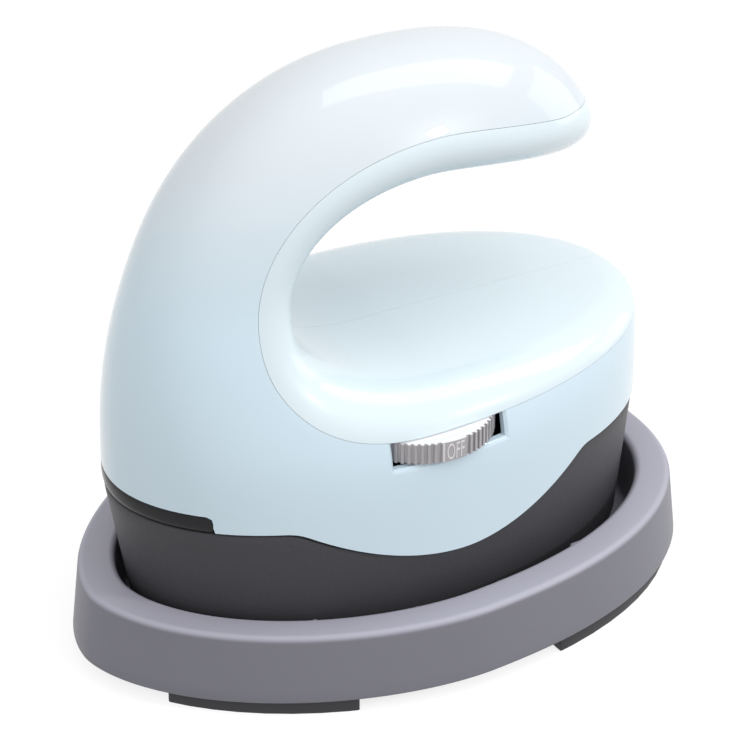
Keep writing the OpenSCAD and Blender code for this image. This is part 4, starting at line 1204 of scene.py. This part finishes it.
def build_fittings(s, b, colours):
    """Cord inlet, hot plate and the parts inside, which keep their shapes"""
    black = finish(
        "Inlet plastic", (0.03, 0.03, 0.034), rough=0.42, spread=0.08, grain=1500, speckle=0.12, bump=0.03
    )
    gland = from_node("cord_gland", "inlet_bush", 0.25, 35, 3)
    finish_piece(gland, black, "press", "charcoal_plastic", "cord_gland")
    coated = finish(
        "Plate coating", (0.30, 0.21, 0.175), (0.25, 0.175, 0.15), rough=0.42, spread=0.2, metal=0.3,
        grain=1300, speckle=0.35, bump=0.04,
    )
    plate = from_node("hot_plate", "coated_plate", 0.4, 60)
    finish_piece(plate, coated, "press", "plate_aluminium", "hot_plate")
    finishes = {
        "charcoal_plastic": black,
        "steel": finish(
            "Zinc steel", (0.62, 0.62, 0.64), (0.52, 0.52, 0.55), rough=0.30, spread=0.2, metal=1.0,
            grain=700, speckle=0.12, bump=0.03,
        ),
        "board_ceramic": finish(
            "Fibre board", (0.72, 0.69, 0.60), (0.60, 0.57, 0.48), rough=0.85, spread=0.1, grain=420,
            speckle=0.25, bump=0.2, broad=60,
        ),
        "sink_aluminium": finish(
            "Extruded aluminium", (0.70, 0.71, 0.73), rough=0.38, spread=0.15, metal=1.0, speckle=0.08,
            bump=0.03,
        ),
        "board_green": finish(
            "Board lacquer", (0.02, 0.16, 0.06), (0.03, 0.24, 0.09), rough=0.28, spread=0.1, grain=500,
            speckle=0.2, bump=0.03, broad=160,
        ),
        "component_black": finish(
            "Component resin", (0.022, 0.022, 0.024), rough=0.48, spread=0.1, grain=1300, speckle=0.2,
            bump=0.05,
        ),
        "component_white": finish(
            "Fuse ceramic", (0.70, 0.69, 0.65), rough=0.6, spread=0.1, speckle=0.1, bump=0.05
        ),
        "terminal_green": finish(
            "Terminal plastic", (0.03, 0.30, 0.10), grain=1200, speckle=0.08, bump=0.03
        ),
    }
    for slot, name, base in (
        ("wire_brown", "Brown sleeve", (0.13, 0.045, 0.02)),
        ("wire_blue", "Blue sleeve", (0.02, 0.09, 0.42)),
    ):
        finishes[slot] = finish(name, base, rough=0.45, spread=0.08, grain=1500, speckle=0.1, bump=0.04)
    for part in frame["record"]["subparts"]:
        if part["node"] in DRESSED:
            continue
        obj = frame["nodes"][part["node"]]
        material = finishes[part["material_slot"]]
        if obj.material_slots:
            for slot in obj.material_slots:
                slot.material = material
        else:
            obj.data.materials.append(material)


# ---- camera, light and floor ---------------------------------------------------

CAMERA_OFF = (0.001969, 0.043704)  # how far the camera stands beside and above its axis, in m
CAMERA_AIM = (-0.00142, 0, 0.0036)  # where its axis passes, in m
FLOOR_TONE = 0.28  # grey that the floor's shadows are drawn on
FLOOR_GLOW = 0.80  # with this much light of its own, the floor is seen as near white


def view_axes(stage):
    a, e = stage.azimuth, stage.elevation
    back = Vector((math.sin(a) * math.cos(e), -math.cos(a) * math.cos(e), math.sin(e)))
    right = Vector((math.cos(a), math.sin(a), 0))
    return back, right, back.cross(right)


def lamp(name, direction, distance, aim, width, height, watts):
    """A rectangular lamp that stands in a direction from its aim and faces it"""
    data = bpy.data.lights.new(name, "AREA")
    data.shape = "RECTANGLE"
    data.size, data.size_y = width, height
    data.energy = watts
    obj = make_object(name, data)
    way = Vector(direction).normalized()
    obj.location = Vector(aim) + way * distance
    obj.rotation_euler = way.to_track_quat("Z", "Y").to_euler()
    return obj


def seen_rays(tree):
    """Socket that is 1 for what the camera sees, directly, mirrored or through something"""
    path = add_node(tree, "ShaderNodeLightPath").outputs
    pair = maths(tree, "MAXIMUM", path["Is Camera Ray"], path["Is Glossy Ray"])
    return maths(tree, "MAXIMUM", pair, path["Is Transmission Ray"])


def build_camera(stage):
    back, right, up = view_axes(stage)
    camera = bpy.data.cameras.new("camera")
    camera.lens = stage.lens
    camera.sensor_width = 36
    camera.clip_start, camera.clip_end = 0.01, 20
    obj = make_object("camera", camera)
    turned = Matrix((right, up, back)).transposed().to_4x4()
    beside, above = CAMERA_OFF
    turned.translation = back * stage.distance + right * beside + up * above + Vector(CAMERA_AIM)
    obj.matrix_world = turned
    bpy.context.scene.camera = obj


def build_floor():
    bm = bmesh.new()
    bmesh.ops.create_grid(bm, x_segments=4, y_segments=4, size=3.0)
    mesh = bpy.data.meshes.new("floor")
    bm.to_mesh(mesh)
    bm.free()
    floor = make_object("floor", mesh)
    paint = bpy.data.materials.new("Pale floor")
    paint.use_nodes = True
    tree = paint.node_tree
    look = {
        "Base Color": (FLOOR_TONE, FLOOR_TONE, FLOOR_TONE, 1),
        "Roughness": 0.9,
        "Specular IOR Level": 0.0,
        "Emission Color": (1, 1, 1, 1),
        "Emission Strength": maths(tree, "MULTIPLY", seen_rays(tree), FLOOR_GLOW),
    }
    feed(tree, tree.nodes["Principled BSDF"], look)
    floor.data.materials.append(paint)


def build_stage(stage):
    build_camera(stage)
    aim = (0, 0, 0.06)
    lamp("key", (0.53, -0.72, 0.47), 1.0, aim, 0.06, 0.06, stage.key_watts)
    lamp("strip", (0.51, -0.107, 0.853), 0.9, (0, 0, 0.09), 0.34, 0.98, stage.strip_watts)
    lamp("side", (1, -0.1, 0.15), 1.0, aim, 0.5, 0.5, stage.side_watts)
    # Soft lights that leave no picture of themselves in the gloss
    for name, direction, width, watts in (
        ("front", (0.2, -0.55, 0.85), 0.5, stage.front_watts),
        ("fill_left", (-0.75, -0.3, 0.75), 0.6, stage.fill_watts),
        ("fill_near", (-0.46, -0.72, 0.55), 0.6, stage.fill_watts),
    ):
        lamp(name, direction, 1.0, aim, width, width, watts).visible_glossy = False
    world = bpy.data.worlds.new("studio")
    bpy.context.scene.world = world
    world.use_nodes = True
    tree = world.node_tree
    # The surround lights the press at its own strength, and is white where it is seen
    mix = {0: seen_rays(tree), 2: stage.sky, 3: 1.0}
    glow = add_node(tree, "ShaderNodeMix", mix, data_type="FLOAT").outputs[0]
    feed(tree, tree.nodes["Background"], {"Color": (1, 1, 1, 1), "Strength": glow})
    build_floor()
    bpy.context.scene.view_settings.view_transform = "Standard"


# ---- operators and panel ---------------------------------------------------------


def run(context, build):
    s = sizes(context)
    build(s, Body(s), context.scene.heat_press.colours)
    return {"FINISHED"}


class PRESS_OT_tray(bpy.types.Operator):
    """Build the insulated tray with its ribs"""

    bl_idname = "press.tray"
    bl_label = "Tray"

    def execute(self, context):
        return run(context, build_tray)


class PRESS_OT_feet(bpy.types.Operator):
    """Build the tray's feet and resting pads"""

    bl_idname = "press.feet"
    bl_label = "Feet and pads"

    def execute(self, context):
        return run(context, build_feet)


class PRESS_OT_skirt(bpy.types.Operator):
    """Build the dark skirt"""

    bl_idname = "press.skirt"
    bl_label = "Skirt"

    def execute(self, context):
        return run(context, build_skirt)


class PRESS_OT_shell(bpy.types.Operator):
    """Build the pale blue shell with the dial's slot"""

    bl_idname = "press.shell"
    bl_label = "Outer shell"

    def execute(self, context):
        return run(context, build_shell)


class PRESS_OT_covers(bpy.types.Operator):
    """Build the two covers round the finger gap"""

    bl_idname = "press.covers"
    bl_label = "Covers"

    def execute(self, context):
        return run(context, build_covers)


class PRESS_OT_strip(bpy.types.Operator):
    """Build the dark strip at the nose"""

    bl_idname = "press.strip"
    bl_label = "Nose strip"

    def execute(self, context):
        return run(context, build_strip)


class PRESS_OT_dial(bpy.types.Operator):
    """Build the thumb dial with its teeth and lettering"""

    bl_idname = "press.dial"
    bl_label = "Dial"

    def execute(self, context):
        return run(context, build_dial)


class PRESS_OT_fittings(bpy.types.Operator):
    """Finish the hot plate, the cord inlet and the parts inside"""

    bl_idname = "press.fittings"
    bl_label = "Plate, inlet and inside"

    def execute(self, context):
        return run(context, build_fittings)


class PRESS_OT_stage(bpy.types.Operator):
    """Set the camera, the lights and the floor"""

    bl_idname = "press.stage"
    bl_label = "Stage"

    def execute(self, context):
        build_stage(context.scene.heat_press.stage)
        return {"FINISHED"}


STEPS = (
    PRESS_OT_tray,
    PRESS_OT_feet,
    PRESS_OT_skirt,
    PRESS_OT_shell,
    PRESS_OT_covers,
    PRESS_OT_strip,
    PRESS_OT_dial,
    PRESS_OT_fittings,
    PRESS_OT_stage,
)


class PRESS_PT_panel(bpy.types.Panel):
    """Lists the press's pieces and the settings behind them"""

    bl_idname = "PRESS_PT_panel"
    bl_label = "Mini Heat Press"
    bl_space_type = "VIEW_3D"
    bl_region_type = "UI"
    bl_category = "Heat Press"

    def draw(self, context):
        layout = self.layout
        press = context.scene.heat_press
        for step in STEPS:
            layout.operator(step.bl_idname)
        for name in ("housing", "skirt", "tray", "dial", "colours", "stage"):
            box = layout.box()
            box.label(text=name.capitalize())
            group = getattr(press, name)
            for key in group.__annotations__:
                box.prop(group, key)


GROUPS = (HousingSizes, SkirtSizes, TraySizes, DialSizes, PressColours, StageSettings, HeatPress)
CLASSES = (*GROUPS, *STEPS, PRESS_PT_panel)


def register():
    for cls in CLASSES:
        bpy.utils.register_class(cls)
    bpy.types.Scene.heat_press = PointerProperty(type=HeatPress)


def unregister():
    del bpy.types.Scene.heat_press
    for cls in reversed(CLASSES):
        bpy.utils.unregister_class(cls)


def main():
    register()
    for step in STEPS:
        group, name = step.bl_idname.split(".")
        getattr(getattr(bpy.ops, group), name)()


if __name__ == "__main__":
    main()
